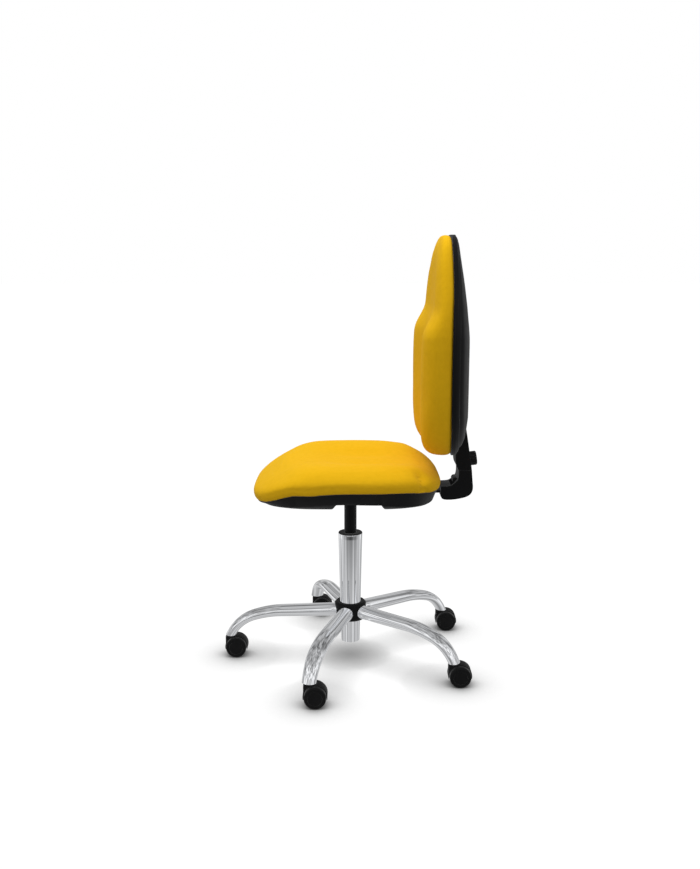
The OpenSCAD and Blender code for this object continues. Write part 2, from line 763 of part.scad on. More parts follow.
// Pair of ears with the pin hole of a lever, inside the housing's wall
module lever_ears(y) {
    reach = housing_x - sheet_t - lever_pin_x;
    for (side = [-1, 1]) {
        y_in = y + side * (lever_eye_w / 2 + passing_gap / 2);
        y0 = side > 0 ? y_in : y_in - lever_ear_t;
        difference() {
            union() {
                translate([-lever_pin_x, 0, lever_z]) bar_y_between(y0, y0 + lever_ear_t, lever_ear_r);
                box([-lever_pin_x - reach - sheet_t / 2, y0, lever_z - lever_ear_r],
                    [-lever_pin_x, y0 + lever_ear_t, board_z - sheet_t / 2]);
            }
            translate([-lever_pin_x, 0, lever_z])
                bar_y_between(y0 - cut, y0 + lever_ear_t + cut, lever_pin_d / 2 + seated_gap);
        }
    }
}

// Opening in the housing's wall through which a lever leaves it
module lever_window(y) {
    half_y = lever_d / 2 + passing_gap;
    box([-housing_x - cut, y - half_y, housing_z + 2 * sheet_t], [-housing_x + sheet_t + lever_ear_t,
        y + half_y, board_z - sheet_t]);
}

module mechanism_housing() {
    color([0.08, 0.08, 0.085]) difference() {
        union() {
            difference() {
                box([-plate_half_x, -plate_half_y, board_z - sheet_t], [plate_half_x, plate_half_y, board_z]);
                for (x = [-seat_bolt_dx / 2, seat_bolt_dx / 2], y = [-seat_bolt_dy / 2, seat_bolt_dy / 2])
                    translate([x, y, board_z - cut])
                        cylinder(h = 2 * cut, r = seat_bolt_d / 2 + seated_gap, $fn = round_fn);
                for (side = [-1, 1]) {
                    x = side * (housing_x + plate_half_x) / 2;
                    box([x - slot_w / 2, -plate_half_y / 2, board_z - cut],
                        [x + slot_w / 2, plate_half_y / 2, board_z + cut]);
                }
            }
            for (side = [-1, 1]) {
                x0 = side > 0 ? housing_x - sheet_t : -housing_x;
                box([x0, -housing_front, housing_z], [x0 + sheet_t, housing_rear, board_z - sheet_t / 2]);
            }
            box([-housing_x, -housing_front, housing_z],
                [housing_x, -housing_front + sheet_t, board_z - sheet_t / 2]);
            box([-housing_x, -housing_front, housing_z], [housing_x, hinge_y - 2 * barrel_r, housing_z + sheet_t]);
            translate([0, 0, housing_z - sheet_t])
                cylinder(h = gas_cone_top_z - housing_z + sheet_t - button_room, r = socket_r, $fn = round_fn);
        }
        gas_cone(seated_gap);
        for (side = [-1, 1]) translate([side * housing_x, hinge_y, hinge_z])
            bar_x(-cut, cut, hinge_pin_d / 2 + seated_gap);
        lever_window(0);
        lever_window(tilt_lever_y);
    }
    color([0.08, 0.08, 0.085]) for (y = [0, tilt_lever_y]) lever_ears(y);
}

module hinge_pins() {
    pin_half_l = lever_eye_w / 2 + lever_ear_t + passing_gap;
    color([0.55, 0.55, 0.57]) {
        translate([0, hinge_y, hinge_z]) bar_x(-housing_x - sheet_t, housing_x + sheet_t, hinge_pin_d / 2);
        for (y = [0, tilt_lever_y])
            translate([-lever_pin_x, y, lever_z]) bar_y_between(-pin_half_l, pin_half_l, lever_pin_d / 2);
    }
}

// Helical spring along X, starting at the origin
module coil() {
    steps = spring_turns * spring_steps;
    function coil_point(s, q) = let (a = 360 * s / spring_steps, b = 360 * q / spring_sides,
        r = spring_r + spring_wire_d / 2 * cos(b))
        [spring_pitch * s / spring_steps + spring_wire_d / 2 * sin(b), r * cos(a), r * sin(a)];
    bar_skin([for (s = [0:steps]) [for (q = [0:spring_sides - 1]) coil_point(s, q)]], spring_sides);
}

module tilt_springs() {
    start_x = spring_start_x + spring_wire_d / 2;
    color([0.45, 0.45, 0.47]) for (side = [0, 1]) mirror([side, 0, 0])
        translate([start_x, hinge_y, hinge_z]) coil();
}

// Bent rod of a lever from its tip over the column to its grip, with an eye round its pin
module lever_rod(tip_x) {
    r = lever_d / 2;
    ball_r = r + lever_ball_extra;
    slope_x = lever_knee_x - housing_x - passing_gap;
    slope_l = norm([slope_x, lever_drop]);
    difference() {
        union() {
            bar_x(-housing_x - passing_gap, -tip_x, r);
            translate([-tip_x, 0, 0]) sphere(r = ball_r, $fn = round_fn);
            translate([-lever_pin_x, 0, 0]) bar_y_between(-lever_eye_w / 2, lever_eye_w / 2, lever_eye_r);
            translate([-housing_x - passing_gap, 0, 0]) {
                sphere(r = ball_r, $fn = round_fn);
                rotate([0, atan2(lever_drop, -slope_x), 0]) bar_x(0, slope_l, r);
            }
            translate([-lever_knee_x, 0, -lever_drop]) sphere(r = ball_r, $fn = round_fn);
            translate([0, 0, -lever_drop]) bar_x(-lever_reach - grip_over, -lever_knee_x, r);
        }
        translate([-lever_pin_x, 0, 0]) bar_y_between(-cut, cut, lever_pin_d / 2 + running_gap);
    }
}

// Flat grip with rounded ends on the end of a lever rod
module lever_grip() {
    end_r = grip_w / 2;
    difference() {
        hull() {
            translate([-lever_reach - end_r, 0, -lever_drop - grip_t / 2])
                cylinder(h = grip_t, r = end_r, $fn = blend_fn);
            translate([-lever_reach - grip_l + end_r, 0, -lever_drop - grip_t / 2])
                cylinder(h = grip_t, r = end_r, $fn = blend_fn);
        }
        translate([0, 0, -lever_drop])
            bar_x(-lever_reach - grip_over - seated_gap, -lever_reach + cut, lever_d / 2 + seated_gap);
    }
}

module gas_lever() {
    color([0.6, 0.6, 0.62]) translate([0, 0, lever_z]) lever_rod(0);
}

module gas_lever_grip() {
    color([0.07, 0.07, 0.075]) translate([0, 0, lever_z]) lever_grip();
}

module tilt_lever() {
    color([0.6, 0.6, 0.62]) translate([0, tilt_lever_y, lever_z]) lever_rod(tilt_lever_tip_x);
}

module tilt_lever_grip() {
    color([0.07, 0.07, 0.075]) translate([0, tilt_lever_y, lever_z]) lever_grip();
}

// Places of the armrest holes
armrest_places = [for (x = [-armrest_dx / 2, armrest_dx / 2], y = [-armrest_dy / 2, armrest_dy / 2])
    [x, armrest_y + y]];
pan_screw_places = [for (x = [-pan_screw_x, pan_screw_x], y = [-pan_screw_y, pan_screw_y]) [x, y - seat_ahead]];
seat_bolt_places = [for (x = [-seat_bolt_dx / 2, seat_bolt_dx / 2],
    y = [-seat_bolt_dy / 2, seat_bolt_dy / 2]) [x, y]];

module seat_board() {
    outline = [for (k = [0:outline_steps - 1]) let (d = outline_dir(k, corner_power))
        [d[0] * seat_board_half_x, d[1] * seat_half_y * seat_board_share - seat_ahead]];
    color([0.72, 0.57, 0.38]) difference() {
        translate([0, 0, board_z]) linear_extrude(height = board_t) polygon(outline);
        for (p = armrest_places) translate([p[0], p[1], board_z - cut])
            cylinder(h = board_t + 2 * cut, d = armrest_hole_d, $fn = round_fn);
        for (p = seat_bolt_places) translate([p[0], p[1], board_z - cut])
            cylinder(h = bolt_bite + cut, r = seat_bolt_d / 2 + seated_gap, $fn = round_fn);
        for (p = pan_screw_places) translate([p[0], p[1], board_z - cut])
            cylinder(h = screw_bite + cut, r = pan_screw_d / 2 + seated_gap, $fn = round_fn);
    }
}

module seat_bolts() {
    color([0.5, 0.5, 0.52]) for (p = seat_bolt_places) translate([p[0], p[1], board_z - sheet_t]) {
        translate([0, 0, -bolt_head_h]) cylinder(h = bolt_head_h, r = bolt_head_r, $fn = 6);
        cylinder(h = sheet_t + bolt_bite, d = seat_bolt_d, $fn = round_fn);
    }
}

// Height of the seam between the cushion and the pan, by its place along the seat
function seat_edge_z(v) = seat_seam_z
    - seat_side_drop * span_share(-v, seat_side_span_shares) - seat_nose_drop * span_share(-v, seat_nose_span_shares)
    - seat_rear_drop * pow(max(0, (v - seat_rear_span_share) / (1 - seat_rear_span_share)), 2);

// Height of the seat's upper face before its edge is rounded
function seat_face_z(x, y) = let (u = x / seat_half_x, v = (y + seat_ahead) / seat_half_y)
    seat_top_z
    - seat_dish * (1 - blend_share(abs(u), 0.1, 0.72)) * blend_share(v, -0.75, -0.1)
        * (1 - 0.6 * blend_share(v, 0.6, 1))
    - seat_front_fall * pow(max(0, -v - 0.25), 2)
    - seat_rear_fall * pow(max(0, v - 0.45), 2);

// Ring of the seat at a share of its outline; rise is the share of the way from the seam to the face
function seat_ring(s, level) = [for (k = [0:outline_steps - 1]) let (d = outline_dir(k, corner_power),
    x = d[0] * seat_half_x * s, y = d[1] * seat_half_y * s - seat_ahead) [x, y, level(x, y, d[1])]];

// Shares of the outline at which the cushion's upper face has its rings
crown_shares = [0.999, 0.992, 0.978, 0.955, 0.925, 0.885, 0.83, 0.76, 0.68, 0.58, 0.47, 0.35, 0.22, 0.1];

// Share of the crown's height that a ring reaches; the powers set how far in it rounds off, and how full it is
function crown_rise(s, powers) = pow(1 - pow(s, powers[0]), 1 / powers[1]);
seat_crown_powers = [6, 2.2];
back_crown_powers = [10, 2.6];
shell_crown_powers = [10, 2.3];

module seat_cushion() {
    rest_z = board_z + board_t + lying_gap;
    under_share = seat_board_share + 0.03;
    color([0.95, 0.7, 0.07]) skin(
        [0, -seat_ahead, rest_z],
        concat(
            [for (s = [0.45, seat_board_share + 0.004]) seat_ring(s, function(x, y, v) rest_z)],
            [seat_ring(under_share, function(x, y, v) min(rest_z, seat_edge_z(v)))],
            [for (s = [pan_rim_share - rim_inside_share, seam_share]) seat_ring(s, function(x, y, v) seat_edge_z(v))],
            [seat_ring(0.992, function(x, y, v) seat_edge_z(v) + side_rise * 0.4)],
            [seat_ring(1, function(x, y, v) seat_edge_z(v) + side_rise)],
            [for (s = crown_shares) seat_ring(s, function(x, y, v) let (low = seat_edge_z(v) + side_rise)
                low + (seat_face_z(x, y) - low) * crown_rise(s, seat_crown_powers))]),
        [0, -seat_ahead, seat_face_z(0, -seat_ahead)]);
}

// Solid tray: the pan's outer form, or its inside where inset is the wall
module tray(inset) {
    low_z = pan_z + inset;
    share_loss = inset / seat_half_x;
    top = inset > 0 ? cut : 0;
    color([0.06, 0.06, 0.065]) skin(
        [0, -seat_ahead, low_z],
        concat(
            [for (ring = pan_rings) seat_ring(ring[0] - share_loss, function(x, y, v)
                min(low_z + ring[1] * (1 - abs(v)) + ring[2] * abs(v), seat_edge_z(v) - pan_lip + top))],
            [seat_ring(pan_rim_share - share_loss, function(x, y, v) seat_edge_z(v) - lying_gap + top)],
            [seat_ring(seat_board_share, function(x, y, v) seat_edge_z(v) - lying_gap + top)]),
        [0, -seat_ahead, seat_edge_z(0) - lying_gap + top]);
}

// Solid under the pan's raised stretch, grown by the wall on its inside
module raised_space(grow) {
    top_z = pan_raised_z + grow;
    across(seat_half_x, [
        [raised_front_y - grow, pan_z - cut], [raised_rear_y + grow, pan_z - cut],
        [raised_rear_y + grow, pan_z], [raised_rear_y + grow - raised_slope, top_z],
        [raised_front_y - grow + raised_slope, top_z], [raised_front_y - grow, pan_z]]);
}

module seat_pan() {
    rear_y = seat_half_y + cut;
    color([0.06, 0.06, 0.065]) difference() {
        union() {
            difference() {
                tray(0);
                difference() {
                    tray(pan_wall);
                    raised_space(pan_wall);
                }
                raised_space(0);
            }
            for (p = pan_screw_places) translate([p[0], p[1], pan_z + pan_wall / 2])
                cylinder(h = board_z - pan_z - pan_wall / 2, r = boss_r, $fn = blend_fn);
        }
        box([-housing_x - pan_housing_gap_x, -housing_front - pan_housing_gap_y, pan_z - cut],
            [housing_x + pan_housing_gap_x, housing_rear + pan_housing_gap_y, board_z - sheet_t - passing_gap]);
        box([-plate_half_x - passing_gap, -plate_half_y - passing_gap, board_z - sheet_t - passing_gap],
            [plate_half_x + passing_gap, plate_half_y + passing_gap, board_z + cut]);
        box([-pan_notch_x, pan_notch_y, pan_z - cut], [pan_notch_x, rear_y, board_z + cut]);
        for (p = armrest_places) translate([p[0], p[1], pan_z - cut])
            cylinder(h = board_z - pan_z + cut, d = armrest_access_d, $fn = blend_fn);
        for (p = pan_screw_places) translate([p[0], p[1], pan_z - cut]) {
            cylinder(h = board_z - pan_z + 2 * cut, r = pan_screw_d / 2 + seated_gap, $fn = blend_fn);
            cylinder(h = cut + screw_head_h, r = screw_head_r + passing_gap, $fn = blend_fn);
        }
    }
}

module pan_screws() {
    color([0.3, 0.3, 0.31]) for (p = pan_screw_places) translate([p[0], p[1], pan_z]) {
        cylinder(h = screw_head_h, r = screw_head_r, $fn = round_fn);
        cylinder(h = board_z + screw_bite - pan_z, d = pan_screw_d, $fn = round_fn);
    }
}

module back_bar() {
    bend_z = hinge_z + bar_bend_r;
    half_t = bar_t / 2;
    color([0.09, 0.09, 0.095]) difference() {
        union() {
            box([-bar_half_x, hinge_y, hinge_z - half_t], [bar_half_x, bar_low_y, hinge_z + half_t]);
            translate([0, hinge_y, hinge_z]) bar_x(-bar_half_x, bar_half_x, barrel_r);
            translate([0, bar_low_y, bend_z]) rotate([0, 90, 0]) translate([0, 0, -bar_half_x])
                rotate_extrude(angle = 90, $fn = round_fn) translate([bar_bend_r - half_t, 0])
                    square([bar_t, bar_w]);
            box([-bar_half_x, bar_y - half_t, bend_z], [bar_half_x, bar_y + half_t, bar_top_z]);
        }
        translate([0, hinge_y, hinge_z]) bar_x(-bar_w, bar_w, hinge_pin_d / 2 + running_gap);
    }
}

// Whole side outlines of the covers, closed at the seam
cover_outline = concat(
    [[cover_front_y, cover_front_low_z]], cover_heel,
    [[seam_rear_y, cover_seam_z], [seam_front_y, cover_seam_z]], cover_inner,
    [[cover_front_y, cover_front_high_z]]);
sleeve_outline = concat(
    [[seam_front_y, cover_seam_z + seam_gap], [seam_rear_y, cover_seam_z + seam_gap]], sleeve_rear,
    [[sleeve_in_rear_y, sleeve_top_z], [sleeve_in_front_y, sleeve_top_z]], sleeve_front);

module lower_cover() {
    half_t = bar_t / 2 + bar_gap;
    space_x = bar_half_x + bar_gap;
    color([0.05, 0.05, 0.055]) difference() {
        union() {
            across(cover_half_x, cover_outline);
            translate([0, knuckle_y, knuckle_z]) bar_x(-knuckle_w / 2, knuckle_w / 2, knuckle_r);
        }
        box([-space_x, cover_front_y - cut, hinge_z - half_t], [space_x, bar_y + half_t, hinge_z + half_t]);
        box([-space_x, bar_y - half_t, hinge_z - half_t], [space_x, bar_y + half_t, cover_seam_z + cut]);
        box([-space_x, bar_low_y - half_t, hinge_z - half_t], [space_x, bar_y + half_t,
            hinge_z + bar_bend_r + half_t]);
    }
}

// Frame on the knob's axis, at the sleeve's rear face, with Y to the rear
module at_knob() {
    translate([0, knob_rear_y, knob_z]) rotate([knob_tilt, 0, 0]) children();
}

module back_sleeve() {
    half_t = bar_t / 2 + bar_gap;
    space_x = bar_half_x + bar_gap;
    pad_y = bar_y + half_t;
    color([0.05, 0.05, 0.055]) difference() {
        union() {
            across(cover_half_x, sleeve_outline);
            box([-sleeve_flange_half_x, back_board_y + back_board_t + lying_gap, sleeve_flange_z],
                [sleeve_flange_half_x, back_board_y + back_board_t + lying_gap + sleeve_flange_t, sleeve_top_z]);
        }
        box([-space_x, bar_y - half_t, cover_seam_z - cut], [space_x, bar_y + half_t, sleeve_top_z - sleeve_cavity_cap]);
        box([-pad_half - bar_gap, pad_y - bar_gap, knob_z - pad_half - bar_gap],
            [pad_half + bar_gap, pad_y + pad_t + bar_gap, knob_z + pad_half + bar_gap]);
        at_knob() bar_y_between(-2 * cut, cut, stud_d / 2 + stud_hole_gap);
        for (x = [-back_screw_x, back_screw_x], z = [back_screw_low_z, back_screw_high_z])
            translate([x, 0, z]) bar_y_between(back_board_y, shell_rear_y, back_screw_d / 2 + seated_gap);
    }
}

module clamp_pad() {
    pad_y = bar_y + bar_t / 2 + bar_gap;
    color([0.55, 0.55, 0.57]) box([-pad_half, pad_y, knob_z - pad_half], [pad_half, pad_y + pad_t, knob_z + pad_half]);
}

module height_knob() {
    color([0.05, 0.05, 0.055]) at_knob() {
        difference() {
            union() {
                bar_y_between(lying_gap, knob_l - knob_edge, knob_d / 2);
                translate([0, knob_l, 0]) rotate([90, 0, 0])
                    cylinder(h = knob_edge, r1 = knob_d / 2 - knob_edge, r2 = knob_d / 2, $fn = round_fn);
            }
            for (k = [0:knob_flutes - 1]) rotate([0, 360 * k / knob_flutes, 0])
                translate([(knob_d + knob_flute_r) / 2, 0, 0])
                    bar_y_between(knob_flute_r, knob_l + cut, knob_flute_r);
        }
        bar_y_between(-stud_l, knob_edge, stud_d / 2);
    }
}

// Distance from the column to the back board's front face, by the place across the back
function board_face_y(x) = back_board_y - back_curve_r + sqrt(back_curve_r * back_curve_r - x * x);

// Point of the back's outline at a share of it
function back_height_share(z) = (z - back_mid_z) / back_half_z;
function back_width_share(h) = 1 - back_top_loss_share * blend_share(h, 0, 1)
    - back_foot_loss_share * blend_share(-h, 0.35, 1);
function back_place(k, s) = let (
    power = 2 * k < outline_steps ? corner_power : foot_corner_power, d = outline_dir(k, power), h = d[1] * s)
    [d[0] * s * back_half_x * back_width_share(h), back_mid_z + h * back_half_z];

// Distance from the column to the back's front face before its edge is rounded
function back_face_y(x, z) = let (
    h = back_height_share(z), u = abs(x) / back_half_x, high = blend_share(h, 0.09, 0.37))
    back_low_crest_y + (back_high_crest_y - back_low_crest_y) * high + back_lean * max(0, h + 0.05)
    + back_hollow * (1 - 0.7 * high) * (1 - blend_share(u, 0.1, 0.68));

function back_ring(s, face) = [for (k = [0:outline_steps - 1]) let (p = back_place(k, s))
    [p[0], p[1], -face(p[0], p[1])]];

// Distance from the column to the shell's rear face before its edge is rounded
function shell_face_y(x, z) = let (h = back_height_share(z))
    shell_rear_y - x * x / (2 * shell_arch_r)
    - shell_upper_fall * span_share(h, shell_upper_span_shares)
    - shell_top_fall * span_share(h, shell_top_span_shares)
    - shell_low_fall * span_share(-h, shell_low_span_shares)
    - shell_foot_fall * span_share(-h, shell_foot_span_shares);

// Distance to the seam between the cushion and the shell
function back_edge_y(x, z) = board_face_y(x) - back_top_lean * blend_share(back_height_share(z), 0.4, 1);

module back_cushion() {
    color([0.9, 0.65, 0.05]) rotate([90, 0, 0]) skin(
        [0, back_mid_z, lying_gap - back_edge_y(0, back_mid_z)],
        concat(
            [for (s = [0.5, 0.9, seam_share]) back_ring(s, function(x, z) back_edge_y(x, z) - lying_gap)],
            [back_ring(0.992, function(x, z) back_edge_y(x, z) - back_side_rise * 0.45)],
            [back_ring(1, function(x, z) back_edge_y(x, z) - back_side_rise)],
            [for (s = crown_shares) back_ring(s, function(x, z) let (low = back_edge_y(x, z) - back_side_rise)
                low - (low - back_face_y(x, z)) * crown_rise(s, back_crown_powers))]),
        [0, back_mid_z, -back_face_y(0, back_mid_z)]);
}

module back_board() {
    outline = [for (k = [0:outline_steps - 1]) back_place(k, back_board_share)];
    color([0.72, 0.57, 0.38]) difference() {
        intersection() {
            translate([0, back_board_y - back_curve_r, back_z]) difference() {
                cylinder(h = back_top_z - back_z, r = back_curve_r + back_board_t, $fn = curve_fn);
                translate([0, 0, -cut])
                    cylinder(h = back_top_z - back_z + 2 * cut, r = back_curve_r, $fn = curve_fn);
            }
            translate([0, shell_rear_y, 0]) rotate([90, 0, 0]) linear_extrude(height = shell_rear_y) polygon(outline);
        }
        for (x = [-back_screw_x, back_screw_x], z = [back_screw_low_z, back_screw_high_z])
            translate([x, 0, z]) bar_y_between(0, shell_rear_y, back_screw_d / 2 + seated_gap);
    }
}

module back_screws() {
    head_y = back_board_y + back_board_t + lying_gap + sleeve_flange_t;
    color([0.5, 0.5, 0.52]) for (x = [-back_screw_x, back_screw_x], z = [back_screw_low_z, back_screw_high_z])
        translate([x, 0, z]) {
            bar_y_between(back_board_y + screw_tip_gap, head_y, back_screw_d / 2);
            bar_y_between(head_y, head_y + screw_head_h, back_screw_head_r);
        }
}

// Solid shell form, or its inside where inset is the wall
module shell_form(inset) {
    share_loss = inset / back_half_x;
    rim = inset > 0 ? cut : 0;
    skin(
        [0, back_mid_z, inset - shell_face_y(0, back_mid_z)],
        concat(
            [for (s = shell_shares) back_ring(s - share_loss, function(x, z)
                let (low = back_edge_y(x, z) + shell_rim_h)
                low + (shell_face_y(x, z) - low) * crown_rise(s, shell_crown_powers) - inset)],
            [back_ring(shell_rim_share - share_loss, function(x, z) back_edge_y(x, z) + shell_rim_h - inset)],
            [back_ring(shell_rim_share - share_loss, function(x, z) back_edge_y(x, z) - rim)],
            [back_ring(0.5, function(x, z) back_edge_y(x, z) - rim)]),
        [0, back_mid_z, rim - back_edge_y(0, back_mid_z)]);
}

// Stand-offs of the shell, which rest on the rear face of the back board
module shell_bosses() {
    for (x = [-shell_boss_x, shell_boss_x], z = [shell_boss_low_z, shell_boss_high_z]) translate([x, 0, z])
        bar_y_between(board_face_y(x) + back_board_t + lying_gap, shell_face_y(x, z) - shell_wall / 2, shell_boss_r);
}

module back_shell() {
    color([0.05, 0.05, 0.055]) difference() {
        union() {
            rotate([90, 0, 0]) difference() {
                shell_form(0);
                shell_form(shell_wall);
            }
            shell_bosses();
        }
        box([-shell_slot_half_x, shell_slot_y, back_z - cut],
            [shell_slot_half_x, shell_rear_y + cut, shell_slot_top_z]);
    }
}

// Frame on a castor's axle, with X along it
module at_axle() {
    translate([0, castor_trail, wheel_r]) children();
}

module castor_hood() {
    color([0.06, 0.06, 0.065]) difference() {
        union() {
            at_axle() bar_x(-hood_w / 2, hood_w / 2, hood_r);
            box([-block_w / 2, -block_front, wheel_r], [block_w / 2, castor_trail, block_top_z]);
            translate([0, 0, stem_foot_z - stem_floor]) cylinder(h = block_top_z - stem_foot_z, r = web_x,
                $fn = round_fn);
        }
        difference() {
            at_axle() bar_x(-hood_w, hood_w, hood_in_r);
            at_axle() bar_x(-web_x, web_x, hood_in_r + cut);
        }
        difference() {
            box([-hood_w, -cut - block_front, -cut], [hood_w, castor_trail + hood_r + cut, hood_lip_z]);
            box([-web_x, -block_front - 2 * cut, -2 * cut], [web_x, castor_trail + hood_r + 2 * cut, hood_lip_z + cut]);
        }
        difference() {
            box([-web_x - cut, -block_front - cut, -cut], [web_x + cut, castor_trail + hood_r + cut, hood_lip_z]);
            at_axle() bar_x(-web_x, web_x, wheel_r - web_low_z);
        }
        at_axle() bar_x(-hood_w, hood_w, axle_r + seated_gap);
        translate([0, 0, stem_foot_z]) cylinder(h = block_top_z, r = stem_r + seated_gap, $fn = round_fn);
        translate([0, 0, block_top_z]) cylinder(h = block_top_z, r = stem_collar_r + lying_gap, $fn = round_fn);
    }
}

module castor_stem() {
    color([0.6, 0.6, 0.62]) {
        translate([0, 0, stem_foot_z]) cylinder(h = arm_end_z + stem_rise - stem_foot_z, r = stem_r, $fn = round_fn);
        translate([0, 0, arm_end_z + stem_rise])
            cylinder(h = stem_tip_l, r1 = stem_r, r2 = stem_tip_r, $fn = round_fn);
        translate([0, 0, block_top_z])
            cylinder(h = arm_end_z - block_top_z - lying_gap, r = stem_collar_r, $fn = round_fn);
    }
}

module castor_axle() {
    color([0.6, 0.6, 0.62]) at_axle() bar_x(-axle_half_l, axle_half_l, axle_r);
}

// Wheel on the side of +X: rim, hub and outer disc with the groove of its cap
module wheel() {
    x_out = wheel_pair_w / 2;
    x_in = wheel_in_x;
    bore_r = axle_r + running_gap;
    web_top = x_out - disc_t;
    profile = [
        [bore_r, x_in], [wheel_hub_r, x_in], [wheel_hub_r, web_top], [wheel_r - rim_t, web_top],
        [wheel_r - rim_t, x_in], [wheel_r - wheel_edge, x_in], [wheel_r, x_in + wheel_edge],
        [wheel_r, x_out - 2 * wheel_edge], [wheel_r - wheel_edge, x_out - wheel_edge / 2],
        [cap_r + cap_groove, x_out - wheel_edge / 4], [cap_r + cap_groove, x_out - cap_groove],
        [cap_r, x_out - cap_groove], [cap_r, x_out], [0, x_out], [0, web_top], [bore_r, web_top]];
    at_axle() rotate([0, 90, 0]) rotate_extrude($fn = round_fn) polygon(profile);
}

module castor_wheel(side) {
    color([0.05, 0.05, 0.055]) mirror([side < 0 ? 1 : 0, 0, 0]) wheel();
}

module castor_part(part) {
    if (part == "hood") castor_hood();
    if (part == "stem") castor_stem();
    if (part == "axle") castor_axle();
    if (part == "wheel_left") castor_wheel(1);
    if (part == "wheel_right") castor_wheel(-1);
}

base_hub();
for (i = [1:arm_count]) base_arm(i);
castor_sockets();
column_tube();
guide_bush();
thrust_bearing();
piston_rod();
rod_clip();
gas_cylinder();
release_button();
mechanism_housing();
hinge_pins();
tilt_springs();
gas_lever();
gas_lever_grip();
tilt_lever();
tilt_lever_grip();
seat_board();
seat_bolts();
seat_pan();
pan_screws();
seat_cushion();
back_bar();
lower_cover();
back_sleeve();
clamp_pad();
height_knob();
back_board();
back_screws();
back_shell();
back_cushion();
for (i = [1:arm_count], part = CASTOR_PARTS)
    at_castor(i) castor_part(part);
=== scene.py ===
"""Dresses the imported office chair: cushions, shells, chrome base, castors, finishes, studio and camera.

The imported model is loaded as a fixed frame. Pieces that need a finer form than the frame's solids are built here
from the same sizes, in metres, and stand for those solids. Every other solid keeps its mesh and gets its finish.
"""

import json
import logging
import math
from dataclasses import dataclass, field
from enum import Enum
from typing import Callable, Optional, Sequence, Union

import bmesh
import bpy
from mathutils import Matrix, Vector, noise


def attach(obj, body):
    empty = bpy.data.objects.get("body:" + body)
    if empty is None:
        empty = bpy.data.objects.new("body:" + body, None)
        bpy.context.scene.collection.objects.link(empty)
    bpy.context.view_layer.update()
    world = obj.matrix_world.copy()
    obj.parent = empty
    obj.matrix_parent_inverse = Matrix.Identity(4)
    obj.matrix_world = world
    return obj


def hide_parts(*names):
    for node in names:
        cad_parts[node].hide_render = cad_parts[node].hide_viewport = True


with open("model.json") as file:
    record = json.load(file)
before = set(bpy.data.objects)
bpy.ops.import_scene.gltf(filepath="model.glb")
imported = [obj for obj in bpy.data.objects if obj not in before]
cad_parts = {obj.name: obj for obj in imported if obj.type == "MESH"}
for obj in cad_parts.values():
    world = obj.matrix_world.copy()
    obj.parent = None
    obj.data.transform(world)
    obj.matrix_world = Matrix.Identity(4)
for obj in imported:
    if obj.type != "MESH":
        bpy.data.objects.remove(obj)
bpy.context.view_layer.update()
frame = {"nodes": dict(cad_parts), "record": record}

log = logging.getLogger("chair")

Colour = tuple[float, float, float]
Span = tuple[float, float]
Outline = Sequence[tuple[float, float]]
Socket = bpy.types.NodeSocket
Number = Union[Socket, float]
Feeds = dict[Union[str, int], Union[Socket, float, Sequence[float]]]
Ring = list[Vector]

ARMS = 5


class Slot(Enum):
    """Material slots of the record."""

    CHROME = "chrome"
    BLACK_PLASTIC = "black_plastic"
    SHELL_PLASTIC = "shell_plastic"
    WHEEL_PLASTIC = "wheel_plastic"
    CLOTH = "yellow_fabric"
    PLYWOOD = "plywood"
    BLACK_STEEL = "black_steel"
    STEEL = "steel"


class Side(Enum):
    """Side of a pair, by the sign of its place on X."""

    LEFT = 1
    RIGHT = -1


class Cut(Enum):
    """What a boolean does with a second body."""

    TAKE_AWAY = "DIFFERENCE"
    JOIN = "UNION"


# ---- Nodes of materials ----


def grey(value: float) -> tuple[float, float, float, float]:
    """Gives an opaque grey."""
    return (value, value, value, 1.0)


